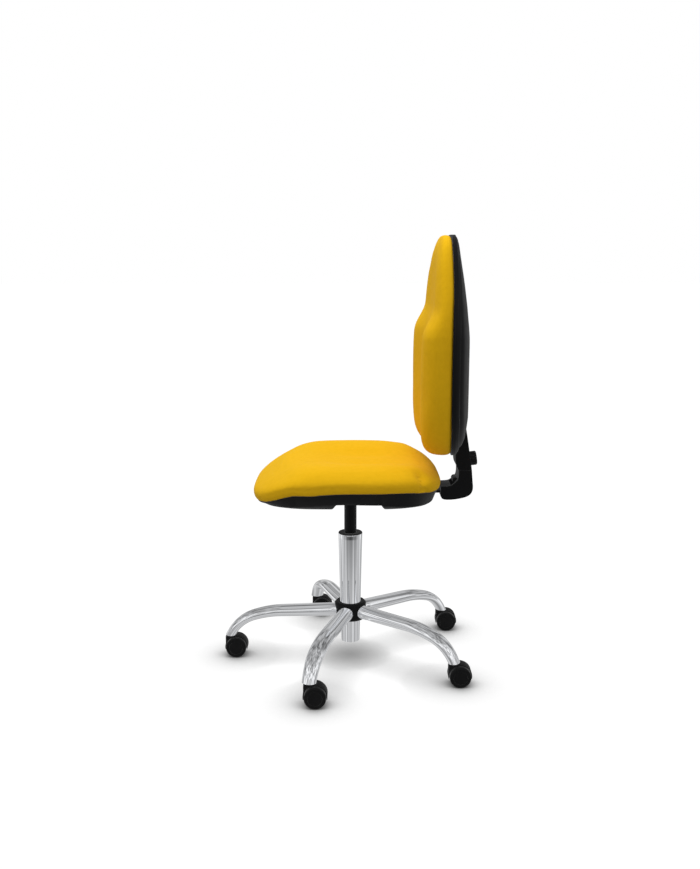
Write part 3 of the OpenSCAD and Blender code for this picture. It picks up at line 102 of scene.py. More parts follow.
class NodeBoard:
    """Adds nodes to one shader tree and joins them."""

    spread: float = 40

    def __init__(self, tree: bpy.types.NodeTree) -> None:
        """Starts on the node tree of a material, a group or a world."""
        self.tree = tree

    @classmethod
    def on(cls, owner: Union[bpy.types.Material, bpy.types.World]) -> "NodeBoard":
        """Starts on the emptied tree of a material or a world.

        Args:
            owner: the material or the world.

        Returns:
            The board.
        """
        owner.use_nodes = True
        owner.node_tree.nodes.clear()
        return cls(owner.node_tree)

    def add(self, kind: str, feeds: Optional[Feeds] = None, **settings: object) -> bpy.types.Node:
        """Adds a node, sets its properties and feeds its inputs.

        Args:
            kind: Blender's type name without its "ShaderNode" start.
            feeds: what the inputs take, by their names or numbers.
            settings: properties of the node.

        Returns:
            The new node.
        """
        node = self.tree.nodes.new("ShaderNode" + kind)
        node.location = (len(self.tree.nodes) * self.spread, 0)
        for name, value in settings.items():
            setattr(node, name, value)
        self.feed(node.inputs, feeds or {})
        return node

    def feed(self, sockets: bpy.types.NodeInputs, feeds: Feeds) -> None:
        """Joins inputs to other sockets, or sets their own values.

        Args:
            sockets: the inputs of a node.
            feeds: an output socket, a number or a list of numbers for each input, by its name or number.
        """
        for key, value in feeds.items():
            if isinstance(value, bpy.types.NodeSocket):
                self.tree.links.new(value, sockets[key])
            else:
                sockets[key].default_value = value

    def calc(self, operation: str, a: Number, b: Number = 0.0, clamp: bool = False) -> Socket:
        """Adds a Math node and gives its result, kept between 0 and 1 if clamped."""
        return self.add("Math", {0: a, 1: b}, operation=operation, use_clamp=clamp).outputs[0]

    def mix(self, share: Number, a: Union[Socket, Colour], b: Union[Socket, Colour]) -> Socket:
        """Mixes two colours by the share of the second one."""
        a, b = (c if isinstance(c, bpy.types.NodeSocket) else (*c, 1.0) for c in (a, b))
        return self.add("Mix", {0: share, 6: a, 7: b}, data_type="RGBA").outputs[2]

    def noise(self, place: Socket, scale: Number, detail: float = 2.0, rough: float = 0.5) -> Socket:
        """Adds a noise texture with its scale in cells per metre, and gives its value, around 0.5."""
        feeds = {"Vector": place, "Scale": scale, "Detail": detail, "Roughness": rough}
        return self.add("TexNoise", feeds).outputs["Fac"]

    def stretch(self, value: Socket, low: float, high: float, to_low: float = 0.0, to_high: float = 1.0) -> Socket:
        """Maps a range of a value to another range, clamped."""
        return self.add("MapRange", dict(enumerate((value, low, high, to_low, to_high)))).outputs[0]

    def ramp(self, value: Socket, stops: Outline) -> Socket:
        """Reads a grey from a smooth ramp.

        Args:
            value: the place on the ramp, from 0 to 1.
            stops: places and their greys, in order.

        Returns:
            The grey's socket.
        """
        node = self.add("ValToRGB", {0: value})
        elements = node.color_ramp.elements
        node.color_ramp.interpolation = "EASE"
        while len(elements) < len(stops):
            elements.new(0.5)
        for element, (at, level) in zip(elements, stops):
            element.position = at
            element.color = grey(level)
        return node.outputs[0]

    def place(self) -> Socket:
        """Gives the place on the object, in metres."""
        return self.add("TexCoord").outputs["Object"]

    def axes(self, vector: Socket) -> bpy.types.NodeOutputs:
        """Splits a vector."""
        return self.add("SeparateXYZ", {0: vector}).outputs

    def by_ray(self, plain: bpy.types.Node, mirrored: bpy.types.Node, seen: bpy.types.Node) -> Socket:
        """Picks a shader by the ray that meets it.

        Args:
            plain: shader for diffuse rays and shadows.
            mirrored: shader for glossy rays.
            seen: shader for the camera.

        Returns:
            The picked shader's socket.
        """
        rays = self.add("LightPath").outputs
        first = self.add("MixShader", {0: rays["Is Glossy Ray"], 1: plain.outputs[0], 2: mirrored.outputs[0]})
        shown = self.calc("MAXIMUM", rays["Is Camera Ray"], rays["Is Transmission Ray"])
        return self.add("MixShader", {0: shown, 1: first.outputs[0], 2: seen.outputs[0]}).outputs[0]


class EffectGroup:
    """A shader node group with named numbers in and values out, built once and used by several finishes."""

    name: str = "effect"
    numbers: tuple[tuple[str, float], ...] = ()
    results: tuple[str, ...] = ()

    @classmethod
    def tree(cls) -> bpy.types.NodeTree:
        """Gives the group's tree, made at its first use.

        Returns:
            The node tree.
        """
        made = bpy.data.node_groups.get(cls.name)
        if made is not None:
            return made
        made = bpy.data.node_groups.new(cls.name, "ShaderNodeTree")
        for number, value in cls.numbers:
            socket = made.interface.new_socket(name=number, in_out="INPUT", socket_type="NodeSocketFloat")
            socket.default_value = value
        for result in cls.results:
            made.interface.new_socket(name=result, in_out="OUTPUT", socket_type="NodeSocketFloat")
        start = made.nodes.new("NodeGroupInput")
        end = made.nodes.new("NodeGroupOutput")
        board = NodeBoard(made)
        board.feed(end.inputs, cls.wire(board, start.outputs))
        return made

    @classmethod
    def wire(cls, board: NodeBoard, given: bpy.types.NodeOutputs) -> Feeds:
        """Makes the group's nodes.

        Args:
            board: board on the group's tree.
            given: sockets that bring the group's numbers.

        Returns:
            The sockets of the group's results, by their names.
        """
        raise NotImplementedError

    @classmethod
    def use(cls, board: NodeBoard, **numbers: float) -> bpy.types.NodeOutputs:
        """Places the group in a material, its numbers named with underscores for spaces."""
        feeds = {name.replace("_", " "): value for name, value in numbers.items()}
        return board.add("Group", feeds, node_tree=cls.tree()).outputs


class WeaveEffect(EffectGroup):
    """Plain weave in the plane that a surface faces, with uneven yarn."""

    name = "plain weave"
    numbers = (("Threads", 600.0), ("Slub Scale", 60.0))
    results = ("Height", "Valley Shade", "Yarn")
    wander_scale: float = 25.0
    wander: float = 0.0012
    facing_power: float = 6.0
    slub_height: float = 0.4

    @classmethod
    def wire(cls, board: NodeBoard, given: bpy.types.NodeOutputs) -> Feeds:
        """Crosses two waves in each plane, shows the plane that the surface faces, and adds the slubs.

        Args:
            board: board on the group's tree.
            given: sockets that bring the group's numbers.

        Returns:
            The sockets of the group's results, by their names.
        """
        coordinates = board.add("TexCoord").outputs
        place = coordinates["Object"]
        wander = board.add("TexNoise", {"Vector": place, "Scale": cls.wander_scale}).outputs["Color"]
        shift = board.add("VectorMath", {0: wander, "Scale": cls.wander}, operation="SCALE").outputs[0]
        axes = board.axes(board.add("VectorMath", {0: place, 1: shift}, operation="ADD").outputs[0])
        turns = board.calc("MULTIPLY", given["Threads"], math.pi)
        waves = [board.calc("SINE", board.calc("MULTIPLY", axes[k], turns)) for k in range(3)]
        facing = board.axes(coordinates["Normal"])
        shares = [board.calc("POWER", board.calc("ABSOLUTE", facing[k]), cls.facing_power) for k in range(3)]
        total = board.calc("ADD", board.calc("ADD", shares[0], shares[1]), shares[2])
        over = 0.0
        for k in range(3):
            pair = board.calc("MULTIPLY", waves[(k + 1) % 3], waves[(k + 2) % 3])
            over = board.calc("ADD", board.calc("MULTIPLY", pair, shares[k]), over)
        height = board.stretch(board.calc("DIVIDE", over, total), -1.0, 1.0)
        slub = board.noise(place, given["Slub Scale"], 4.0)
        return {
            "Height": board.calc("ADD", height, board.calc("MULTIPLY", slub, cls.slub_height)),
            "Valley Shade": board.calc("SUBTRACT", 1.0, height, clamp=True),
            "Yarn": slub}


class GrainEffect(EffectGroup):
    """Fine grain of a mould or a coat, with soft broad waves."""

    name = "moulded grain"
    numbers = (("Grain Scale", 900.0), ("Wave Scale", 14.0))
    results = ("Height", "Patches")

    @classmethod
    def wire(cls, board: NodeBoard, given: bpy.types.NodeOutputs) -> Feeds:
        """Makes small soft cells and a broad noise.

        Args:
            board: board on the group's tree.
            given: sockets that bring the group's numbers.

        Returns:
            The sockets of the group's results, by their names.
        """
        place = board.place()
        cells = board.add("TexVoronoi", {"Vector": place, "Scale": given["Grain Scale"]}, feature="SMOOTH_F1")
        return {"Height": cells.outputs["Distance"], "Patches": board.noise(place, given["Wave Scale"], 3.0)}


class DustEffect(EffectGroup):
    """Thin dust that gathers near the floor and on faces that look up."""

    name = "settled dust"
    numbers = (("Floor Reach", 0.05), ("Upward", 0.3))
    results = ("Dust",)
    spot_scale: float = 140.0
    spot_range: tuple[float, float] = (0.42, 0.68)

    @classmethod
    def wire(cls, board: NodeBoard, given: bpy.types.NodeOutputs) -> Feeds:
        """Adds the dust of low places to that of upward faces, in spots.

        Args:
            board: board on the group's tree.
            given: sockets that bring the group's numbers.

        Returns:
            The sockets of the group's results, by their names.
        """
        coordinates = board.add("TexCoord").outputs
        height = board.axes(coordinates["Object"])[2]
        low = board.calc("SUBTRACT", 1.0, board.calc("DIVIDE", height, given["Floor Reach"]), clamp=True)
        facing = board.axes(coordinates["Normal"])[2]
        up = board.calc("MULTIPLY", board.calc("MAXIMUM", facing, 0.0), given["Upward"])
        spots = board.stretch(board.noise(coordinates["Object"], cls.spot_scale, 4.0), *cls.spot_range)
        return {"Dust": board.calc("MULTIPLY", board.calc("ADD", low, up, clamp=True), spots, clamp=True)}


# ---- Finishes ----


@dataclass(frozen=True)
class Finish:
    """A material with a colour, a relief (its depth in metres and its strength) and the constants of its gloss."""

    name: str
    colour: Colour
    rough: float = 0.5
    gloss: float = 0.5
    metal: float = 0.0
    relief: Span = (0.0, 0.0)

    def build(self) -> bpy.types.Material:
        """Makes the material, at its first use.

        Returns:
            The material.
        """
        made = bpy.data.materials.get(self.name)
        if made is not None:
            return made
        made = bpy.data.materials.new(self.name)
        board = NodeBoard.on(made)
        shader = board.add("BsdfPrincipled", {
            "Base Color": (*self.colour, 1.0), "Roughness": self.rough, "Specular IOR Level": self.gloss,
            "Metallic": self.metal})
        board.add("OutputMaterial", {"Surface": shader.outputs[0]})
        feeds = self.detail(board)
        depth, strength = self.relief
        bump = board.add("Bump", {"Strength": strength, "Distance": depth, "Height": feeds.pop("Height")})
        board.feed(shader.inputs, {**feeds, "Normal": bump.outputs[0]})
        made.diffuse_color = (*self.colour, 1.0)
        return made

    def detail(self, board: NodeBoard) -> Feeds:
        """Makes what sets this finish apart.

        Args:
            board: board on the material's tree.

        Returns:
            What the shader's inputs take, and the relief's height.
        """
        raise NotImplementedError

    def darker(self, share: float) -> Colour:
        """Gives the finish's colour, darkened to a share."""
        return tuple(c * share for c in self.colour)


@dataclass(frozen=True)
class WovenCloth(Finish):
    """Flat-woven upholstery cloth with a faint fuzz."""

    relief: Span = (0.00035, 0.45)
    # Darker colour for the painted shade in the weave's valleys and for the darker tone of the uneven dye.
    deep: Colour = (0.62, 0.345, 0.006)
    threads: float = 620.0
    slub_scale: float = 90.0
    dye_scale: float = 7.0
    valley_shade_share: float = 0.16
    uneven_share: float = 0.1
    rough_span: Span = (0.82, 0.95)
    sheen: float = 0.04
    sheen_rough: float = 0.45
    sheen_tint: Colour = (1.0, 0.8, 0.35)

    def detail(self, board: NodeBoard) -> Feeds:
        """Makes the weave, the uneven dye and the painted shade in the weave's valleys.

        Args:
            board: board on the material's tree.

        Returns:
            What the shader's inputs take, and the relief's height.
        """
        weave = WeaveEffect.use(board, Threads=self.threads, Slub_Scale=self.slub_scale)
        broad = board.stretch(board.noise(board.place(), self.dye_scale, 3.0), 0.3, 0.7, 0.0, self.uneven_share)
        # Painted shade: the colour darkens in the weave's valleys; the yarn and the broad noise add uneven dye.
        painted_valley_shade = board.calc("MULTIPLY", weave["Valley Shade"], self.valley_shade_share)
        yarn = board.stretch(weave["Yarn"], 0.35, 0.65, 0.0, self.uneven_share)
        share = board.calc("ADD", board.calc("ADD", painted_valley_shade, yarn), broad, clamp=True)
        return {
            "Base Color": board.mix(share, self.colour, self.deep),
            "Roughness": board.stretch(weave["Yarn"], 0.3, 0.7, *self.rough_span),
            "Sheen Weight": self.sheen, "Sheen Roughness": self.sheen_rough,
            "Sheen Tint": (*self.sheen_tint, 1.0), "Height": weave["Height"]}


@dataclass(frozen=True)
class ChromePlate(Finish):
    """Mirror plating with faint wiping marks, on a tube that is slightly wavy."""

    relief: Span = (0.0016, 0.22)
    mark_scale: float = 22.0
    mark_rough: float = 0.03
    mark_dark: float = 0.93
    wave_scale: float = 12.0

    def detail(self, board: NodeBoard) -> Feeds:
        """Makes the wiping marks and the waviness.

        Args:
            board: board on the material's tree.

        Returns:
            What the shader's inputs take, and the relief's height.
        """
        place = board.place()
        marks = board.noise(place, self.mark_scale, 5.0, 0.6)
        return {
            "Roughness": board.stretch(marks, 0.35, 0.75, self.rough, self.rough + self.mark_rough),
            "Base Color": board.mix(board.stretch(marks, 0.3, 0.8), self.colour, self.darker(self.mark_dark)),
            "Height": board.noise(place, self.wave_scale)}


@dataclass(frozen=True)
class MouldedPlastic(Finish):
    """Moulded plastic with a fine grain and a little dust."""

    relief: Span = (0.00012, 0.35)
    worn: Colour = (0.03, 0.03, 0.03)
    grain: float = 900.0
    dust: float = 0.12
    wave_scale: float = 16.0
    dust_reach: float = 0.06
    dust_upward: float = 0.25
    patch_share: float = 0.3
    patch_dark: float = 0.75
    rough_span: Span = (-0.05, 0.07)

    def detail(self, board: NodeBoard) -> Feeds:
        """Makes the mould's grain, patches of gloss and dust.

        Args:
            board: board on the material's tree.

        Returns:
            What the shader's inputs take, and the relief's height.
        """
        grain = GrainEffect.use(board, Grain_Scale=self.grain, Wave_Scale=self.wave_scale)
        dust = DustEffect.use(board, Floor_Reach=self.dust_reach, Upward=self.dust_upward)
        patches = board.calc("MULTIPLY", board.stretch(grain["Patches"], 0.3, 0.7), self.patch_share)
        base = board.mix(patches, self.colour, self.darker(self.patch_dark))
        low, high = (self.rough + change for change in self.rough_span)
        return {
            "Base Color": board.mix(board.calc("MULTIPLY", dust["Dust"], self.dust), base, self.worn),
            "Roughness": board.stretch(grain["Patches"], 0.3, 0.7, low, high),
            "Height": grain["Height"]}


@dataclass(frozen=True)
class CoatedSteel(Finish):
    """Steel under a powder coat or zinc, with a fine peel, and brush marks where the metal is bare."""

    relief: Span = (0.00008, 0.3)
    peel: float = 500.0
    brushed: float = 0.0
    wave_scale: float = 24.0
    patch_dark: float = 0.7
    brush_scale: float = 1800.0
    brush_way: tuple[float, float, float] = (1.0, 1.0, 0.03)

    def detail(self, board: NodeBoard) -> Feeds:
        """Makes the coat's peel and the brush marks.

        Args:
            board: board on the material's tree.

        Returns:
            What the shader's inputs take, and the relief's height.
        """
        grain = GrainEffect.use(board, Grain_Scale=self.peel, Wave_Scale=self.wave_scale)
        patches = board.stretch(grain["Patches"], 0.35, 0.65, 0.0, 0.5)
        lines = board.add("Mapping", {"Vector": board.place(), "Scale": self.brush_way}).outputs[0]
        streaks = board.noise(lines, self.brush_scale)
        return {
            "Base Color": board.mix(patches, self.colour, self.darker(self.patch_dark)),
            "Roughness": board.stretch(streaks, 0.3, 0.7, self.rough - self.brushed, self.rough + self.brushed),
            "Height": grain["Height"]}


@dataclass(frozen=True)
class Plywood(Finish):
    """Raw plywood with its grain along one way."""

    relief: Span = (0.0002, 0.3)
    dark: Colour = (0.32, 0.19, 0.09)
    fibre_way: tuple[float, float, float] = (1.0, 0.06, 1.0)
    fibre_scale: float = 240.0
    ring_scale: float = 30.0

    def detail(self, board: NodeBoard) -> Feeds:
        """Makes the fibres and the rings of the wood.

        Args:
            board: board on the material's tree.

        Returns:
            What the shader's inputs take, and the relief's height.
        """
        along = board.add("Mapping", {"Vector": board.place(), "Scale": self.fibre_way}).outputs[0]
        fibres = board.noise(along, self.fibre_scale, 5.0, 0.65)
        rings = board.stretch(board.noise(along, self.ring_scale), 0.3, 0.6, 0.3, 1.0)
        share = board.calc("MULTIPLY", board.stretch(fibres, 0.4, 0.7), rings)
        return {"Base Color": board.mix(share, self.colour, self.dark), "Height": fibres}


FINISHES: dict[Slot, Finish] = {
    Slot.CHROME: ChromePlate("bright chrome", (0.80, 0.81, 0.83), rough=0.02, metal=1.0),
    Slot.BLACK_PLASTIC: MouldedPlastic("black moulding", (0.006, 0.006, 0.0065), rough=0.52, gloss=0.12),
    Slot.SHELL_PLASTIC: MouldedPlastic("shell moulding", (0.008, 0.008, 0.0088), rough=0.52, gloss=0.12, grain=700.0),
    Slot.WHEEL_PLASTIC: MouldedPlastic("wheel nylon", (0.005, 0.005, 0.0055), rough=0.42, gloss=0.12, dust=0.15),
    Slot.CLOTH: WovenCloth("yellow weave", (0.94, 0.54, 0.010), rough=0.88, gloss=0.08),
    Slot.PLYWOOD: Plywood("raw plywood", (0.62, 0.44, 0.26), rough=0.7, gloss=0.3),
    Slot.BLACK_STEEL: CoatedSteel("black powder coat", (0.006, 0.006, 0.0065), rough=0.45, gloss=0.14),
    Slot.STEEL: CoatedSteel(
        "zinc plated steel", (0.55, 0.55, 0.57), rough=0.32, metal=1.0, peel=1200.0, brushed=0.08),
}


# ---- Meshes ----


def blend_share(value: float, low: float, high: float) -> float:
    """Steps smoothly from 0 to 1 between two values."""
    t = max(0.0, min(1.0, (value - low) / (high - low)))
    return t * t * (3 - 2 * t)


def signed_power(value: float, power: float) -> float:
    """Raises a value to a power and keeps its sign."""
    return math.copysign(abs(value) ** power, value)


def crown_rise(share: float, edge_power: float, round_power: float) -> float:
    """Gives the share of a crown's height at a share of its outline."""
    return max(0.0, 1 - share**edge_power) ** (1 / round_power)


def turns(steps: int) -> list[float]:
    """Gives even steps round a circle, in radians."""
    return [2 * math.pi * k / steps for k in range(steps)]


def arm_turn(number: int) -> float:
    """Gives the turn of an arm of the base and its castor round the column, in radians."""
    return math.radians(-90 + 360 * (number - 1) / ARMS)


def through(keys: Sequence[Sequence[float]], at: float) -> list[float]:
    """Reads a smooth line through keys that are sorted by their first number.

    Args:
        keys: rows of a place and its values.
        at: the place to read.

    Returns:
        The values there.
    """
    if at <= keys[0][0]:
        return list(keys[0][1:])
    for k in range(len(keys) - 1):
        a, b = keys[k], keys[k + 1]
        if at <= b[0]:
            t = (at - a[0]) / (b[0] - a[0])
            before = keys[max(0, k - 1)]
            after = keys[min(len(keys) - 1, k + 2)]
            found = []
            for j in range(1, len(a)):
                step = b[0] - a[0]
                ma = (b[j] - before[j]) / max(1e-9, b[0] - before[0]) * step
                mb = (after[j] - a[j]) / max(1e-9, after[0] - a[0]) * step
                found.append(
                    (2 * t**3 - 3 * t**2 + 1) * a[j] + (t**3 - 2 * t**2 + t) * ma
                    + (3 * t**2 - 2 * t**3) * b[j] + (t**3 - t**2) * mb)
            return found
    return list(keys[-1][1:])


def new_object(name: str, points: Sequence[Vector], faces: Sequence[Sequence[int]]) -> bpy.types.Object:
    """Makes a mesh object with consistent normals.

    Args:
        name: the object's name.
        points: its points in metres.
        faces: its faces.

    Returns:
        The object, linked to the scene.
    """
    mesh = bpy.data.meshes.new(name)
    mesh.from_pydata([tuple(p) for p in points], [], [list(f) for f in faces])
    net = bmesh.new()
    net.from_mesh(mesh)
    bmesh.ops.recalc_face_normals(net, faces=net.faces)
    net.to_mesh(mesh)
    net.free()
    made = bpy.data.objects.new(name, mesh)
    bpy.context.scene.collection.objects.link(made)
    return made


def skin(name: str, first: Vector, rings: Sequence[Ring], last: Vector) -> bpy.types.Object:
    """Closes a skin over rings of equal length, from a first pole to a last pole.

    Args:
        name: the object's name.
        first: pole before the first ring.
        rings: the rings.
        last: pole after the last ring.

    Returns:
        The object.
    """
    n = len(rings[0])
    points = [first, *(p for ring in rings for p in ring), last]
    end = len(points) - 1
    faces: list[list[int]] = [[0, 1 + (k + 1) % n, 1 + k] for k in range(n)]
    for r in range(len(rings) - 1):
        a = 1 + r * n
        faces += [[a + k, a + (k + 1) % n, a + n + (k + 1) % n, a + n + k] for k in range(n)]
    faces += [[end, end - n + k, end - n + (k + 1) % n] for k in range(n)]
    return new_object(name, points, faces)


def loop_skin(name: str, rings: Sequence[Ring]) -> bpy.types.Object:
    """Closes a skin over rings that come back to the first one, such as a tube with its bore.

    Args:
        name: the object's name.
        rings: the rings.

    Returns:
        The object.
    """
    n = len(rings[0])
    m = len(rings)
    points = [p for ring in rings for p in ring]
    faces = [
        [r * n + k, r * n + (k + 1) % n, (r + 1) % m * n + (k + 1) % n, (r + 1) % m * n + k]
        for r in range(m) for k in range(n)]
    return new_object(name, points, faces)


def prism(name: str, outline: Outline, half_x: float) -> bpy.types.Object:
    """Draws an outline in the plane of Y and Z across X.

    Args:
        name: the object's name.
        outline: places on Y and Z.
        half_x: half the width.

    Returns:
        The object.
    """
    n = len(outline)
    points = [Vector((x, y, z)) for x in (-half_x, half_x) for y, z in outline]
    faces: list[list[int]] = [list(range(n)), list(range(2 * n - 1, n - 1, -1))]
    faces += [[k, (k + 1) % n, n + (k + 1) % n, n + k] for k in range(n)]
    return new_object(name, points, faces)


def box(name: str, low: Sequence[float], high: Sequence[float]) -> bpy.types.Object:
    """Makes a box for a cut from its two corners.

    Args:
        name: the object's name.
        low: the corner with the lowest places.
        high: the corner with the highest places.

    Returns:
        The object.
    """
    outline = [(low[1], low[2]), (high[1], low[2]), (high[1], high[2]), (low[1], high[2])]
    made = prism(name, outline, (high[0] - low[0]) / 2)
    made.data.transform(Matrix.Translation(((high[0] + low[0]) / 2, 0, 0)))
    return made


def rod(name: str, start: Vector, end: Vector, radius: float, sides: int = 48) -> bpy.types.Object:
    """Makes a round bar for a cut or a boss.

    Args:
        name: the object's name.
        start: middle of its first end.
        end: middle of its last end.
        radius: its radius.
        sides: number of its sides.

    Returns:
        The object.
    """
    turn = (end - start).to_track_quat("Z", "Y")
    rings = [[at + turn @ Vector((radius * math.cos(a), radius * math.sin(a), 0)) for a in turns(sides)]
             for at in (start, end)]
    return skin(name, start, rings, end)


def lathe(name: str, profile: Outline, sides: int) -> bpy.types.Object:
    """Turns a profile round X.

    Args:
        name: the object's name.
        profile: radius and place on X; the first and the last one lie on the axis.
        sides: number of its sides.

    Returns:
        The object.
    """
    rings = [[Vector((x, r * math.cos(a), r * math.sin(a))) for a in turns(sides)] for r, x in profile[1:-1]]
    return skin(name, Vector((profile[0][1], 0, 0)), rings, Vector((profile[-1][1], 0, 0)))


def bake_modifiers(piece: bpy.types.Object) -> None:
    """Applies all modifiers of a piece to its mesh.

    Args:
        piece: the piece.
    """
    bpy.context.view_layer.update()
    ready = piece.evaluated_get(bpy.context.evaluated_depsgraph_get())
    mesh = bpy.data.meshes.new_from_object(ready)
    piece.modifiers.clear()
    old, piece.data = piece.data, mesh
    bpy.data.meshes.remove(old)


def carve(piece: bpy.types.Object, cutters: Sequence[bpy.types.Object], kind: Cut = Cut.TAKE_AWAY) -> None:
    """Cuts bodies out of a piece, or joins them to it, and deletes them.

    Args:
        piece: the piece that changes.
        cutters: the other bodies.
        kind: what to do with them.
    """
    for cutter in cutters:
        step = piece.modifiers.new("cut", "BOOLEAN")
        step.operation = kind.value
        step.object = cutter
        step.solver = "EXACT"
    bake_modifiers(piece)
    for cutter in cutters:
        bpy.data.meshes.remove(cutter.data)


def round_edges(piece: bpy.types.Object, width: float, angle: float = 35.0, steps: int = 2) -> None:
    """Adds a bevel to the sharp edges of a piece.

    Args:
        piece: the piece.
        width: width of the bevel.
        angle: smallest angle, in degrees, of an edge that counts as sharp.
        steps: faces across the bevel.
    """
    step = piece.modifiers.new("rounded edges", "BEVEL")
    step.width = width
    step.segments = steps
    step.limit_method = "ANGLE"
    step.angle_limit = math.radians(angle)
    step.use_clamp_overlap = True
    step.miter_outer = "MITER_ARC"


def smooth_faces_tree(angle: float) -> bpy.types.NodeTree:
    """Makes a geometry node tree that shades faces smooth and keeps edges over an angle sharp.

    Args:
        angle: the angle in degrees.

    Returns:
        The node tree.
    """
    name = f"smooth under {angle:g} degrees"
    made = bpy.data.node_groups.get(name)
    if made is not None:
        return made
    made = bpy.data.node_groups.new(name, "GeometryNodeTree")
    made.is_modifier = True
    for way in ("INPUT", "OUTPUT"):
        made.interface.new_socket(name="Geometry", in_out=way, socket_type="NodeSocketGeometry")
    start, end, edge, under, faces, edges = (made.nodes.new(kind) for kind in (
        "NodeGroupInput", "NodeGroupOutput", "GeometryNodeInputMeshEdgeAngle", "FunctionNodeCompare",
        "GeometryNodeSetShadeSmooth", "GeometryNodeSetShadeSmooth"))
    under.data_type, under.operation = "FLOAT", "LESS_EQUAL"
    under.inputs[1].default_value = math.radians(angle)
    faces.domain, edges.domain = "FACE", "EDGE"
    for first, second, key in (
            (start, faces, 0), (faces, edges, 0), (edge, under, 0), (under, edges, "Shade Smooth"), (edges, end, 0)):
        made.links.new(first.outputs[0], second.inputs[key])
    return made


def smooth_shade(piece: bpy.types.Object, angle: float = 32.0) -> None:
    """Adds smooth shading under an angle to a piece."""
    step = piece.modifiers.new("smooth shading", "NODES")
    step.node_group = smooth_faces_tree(angle)


def dress(piece: bpy.types.Object, slot: Slot) -> None:
    """Gives a piece the finish of a slot as its only material.

    Args:
        piece: the piece.
        slot: the record's slot.
    """
    finish = FINISHES[slot].build()
    if piece.data.materials:
        for k in range(len(piece.data.materials)):
            piece.data.materials[k] = finish
    else:
        piece.data.materials.append(finish)


def seat_piece(piece: bpy.types.Object, slot: Slot, body: str, *nodes: str) -> bpy.types.Object:
    """Dresses a new piece and hands it to the frame.

    Args:
        piece: the piece.
        slot: its finish.
        body: the body that it rides on.
        nodes: the nodes that it stands for.

    Returns:
        The piece.
    """
    dress(piece, slot)
    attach(piece, body)
    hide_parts(*nodes)
    log.info("%s rides on %s for %s, %d faces", piece.name, body, ", ".join(nodes), len(piece.data.polygons))
    return piece


# ---- Forms of the seat and the back, which several pieces share ----


@dataclass
class SeatForm:
    """Outline, seam and upper face of the seat."""

    half_x: float = 0.225
    half_y: float = 0.223
    ahead: float = 0.008
    corner_power: float = 0.625
    seam_z: float = 0.464
    side_drop: float = 0.006
    nose_drop: float = 0.0305
    rear_drop: float = 0.017
    top_z: float = 0.514
    dish: float = 0.017
    front_fall: float = 0.086
    rear_fall: float = 0.15
    steps: int = 168

    def edge_z(self, v: float) -> float:
        """Gives the height of the seam at a share along the seat."""
        front = self.side_drop * blend_share(-v, 0.0, 0.5) + self.nose_drop * blend_share(-v, 0.5, 1.0)
        return self.seam_z - front - self.rear_drop * max(0.0, (v - 0.45) / 0.55) ** 2

    def face_z(self, x: float, y: float) -> float:
        """Gives the height of the upper face before its edge is rounded.

        Args:
            x: place on X.
            y: place on Y.

        Returns:
            The height.
        """
        u = x / self.half_x
        v = (y + self.ahead) / self.half_y
        dish = self.dish * (1 - blend_share(abs(u), 0.1, 0.72)) * blend_share(v, -0.75, -0.1)
        return (self.top_z - dish * (1 - 0.6 * blend_share(v, 0.6, 1))
                - self.front_fall * max(0.0, -v - 0.25) ** 2 - self.rear_fall * max(0.0, v - 0.6) ** 2)

    def ring(self, share: float, level: Callable[[float, float, float], float]) -> Ring:
        """Draws the outline at a share of its size.

        Args:
            share: share of the outline.
            level: height from the place and the share along the seat.

        Returns:
            The ring.
        """
        ring = []
        for a in turns(self.steps):
            dx, dy = (signed_power(part, self.corner_power) for part in (math.cos(a), math.sin(a)))
            x, y = dx * self.half_x * share, dy * self.half_y * share - self.ahead
            ring.append(Vector((x, y, level(x, y, dy))))
        return ring


@dataclass
class BackForm:
    """Outline, seam and faces of the back."""

    half_x: float = 0.205
    mid_z: float = 0.775
    half_z: float = 0.255
    corner_power: float = 0.625
    foot_power: float = 0.555
    top_loss: float = 0.3
    foot_loss: float = 0.08
    board_y: float = 0.236
    curve_r: float = 1.4
    top_lean: float = 0.005
    low_crest_y: float = 0.159
    high_crest_y: float = 0.183
    lean: float = 0.010
    hollow: float = 0.020
    steps: int = 168

    def height_share(self, z: float) -> float:
        """Gives the share of the back's half height at a height."""
        return (z - self.mid_z) / self.half_z

    def place(self, k: int, share: float) -> tuple[float, float]:
        """Gives the place on X and Z of an outline's point.

        Args:
            k: number of the point.
            share: share of the outline.

        Returns:
            The place.
        """
        power = self.corner_power if 2 * k < self.steps else self.foot_power
        a = 2 * math.pi * k / self.steps
        h = signed_power(math.sin(a), power) * share
        wide = 1 - self.top_loss * blend_share(h, 0, 1) - self.foot_loss * blend_share(-h, 0.35, 1)
        return signed_power(math.cos(a), power) * share * self.half_x * wide, self.mid_z + h * self.half_z

    def board_at(self, x: float) -> float:
        """Gives the place of the curved board's front."""
        return self.board_y - self.curve_r + math.sqrt(self.curve_r**2 - x * x)

    def edge_y(self, x: float, z: float) -> float:
        """Gives the seam's place between the cushion and the shell."""
        return self.board_at(x) - self.top_lean * blend_share(self.height_share(z), 0.4, 1)

    def face_y(self, x: float, z: float) -> float:
        """Gives the place of the front face before its edge is rounded.

        Args:
            x: place on X.
            z: height.

        Returns:
            The place on Y.
        """
        h = self.height_share(z)
        high = blend_share(h, 0.09, 0.37)
        crest = self.low_crest_y + (self.high_crest_y - self.low_crest_y) * high + self.lean * max(0.0, h + 0.05)
        return crest + self.hollow * (1 - 0.7 * high) * (1 - blend_share(abs(x) / self.half_x, 0.1, 0.68))

    def ring(self, share: float, level: Callable[[float, float], float]) -> Ring:
        """Draws the outline at a share of its size.

        Args:
            share: share of the outline.
            level: place on Y from the place on X and Z.

        Returns:
            The ring.
        """
        places = [self.place(k, share) for k in range(self.steps)]
        return [Vector((x, level(x, z), z)) for x, z in places]


SEAT = SeatForm()
BACK = BackForm()


# ---- Sub-assemblies ----


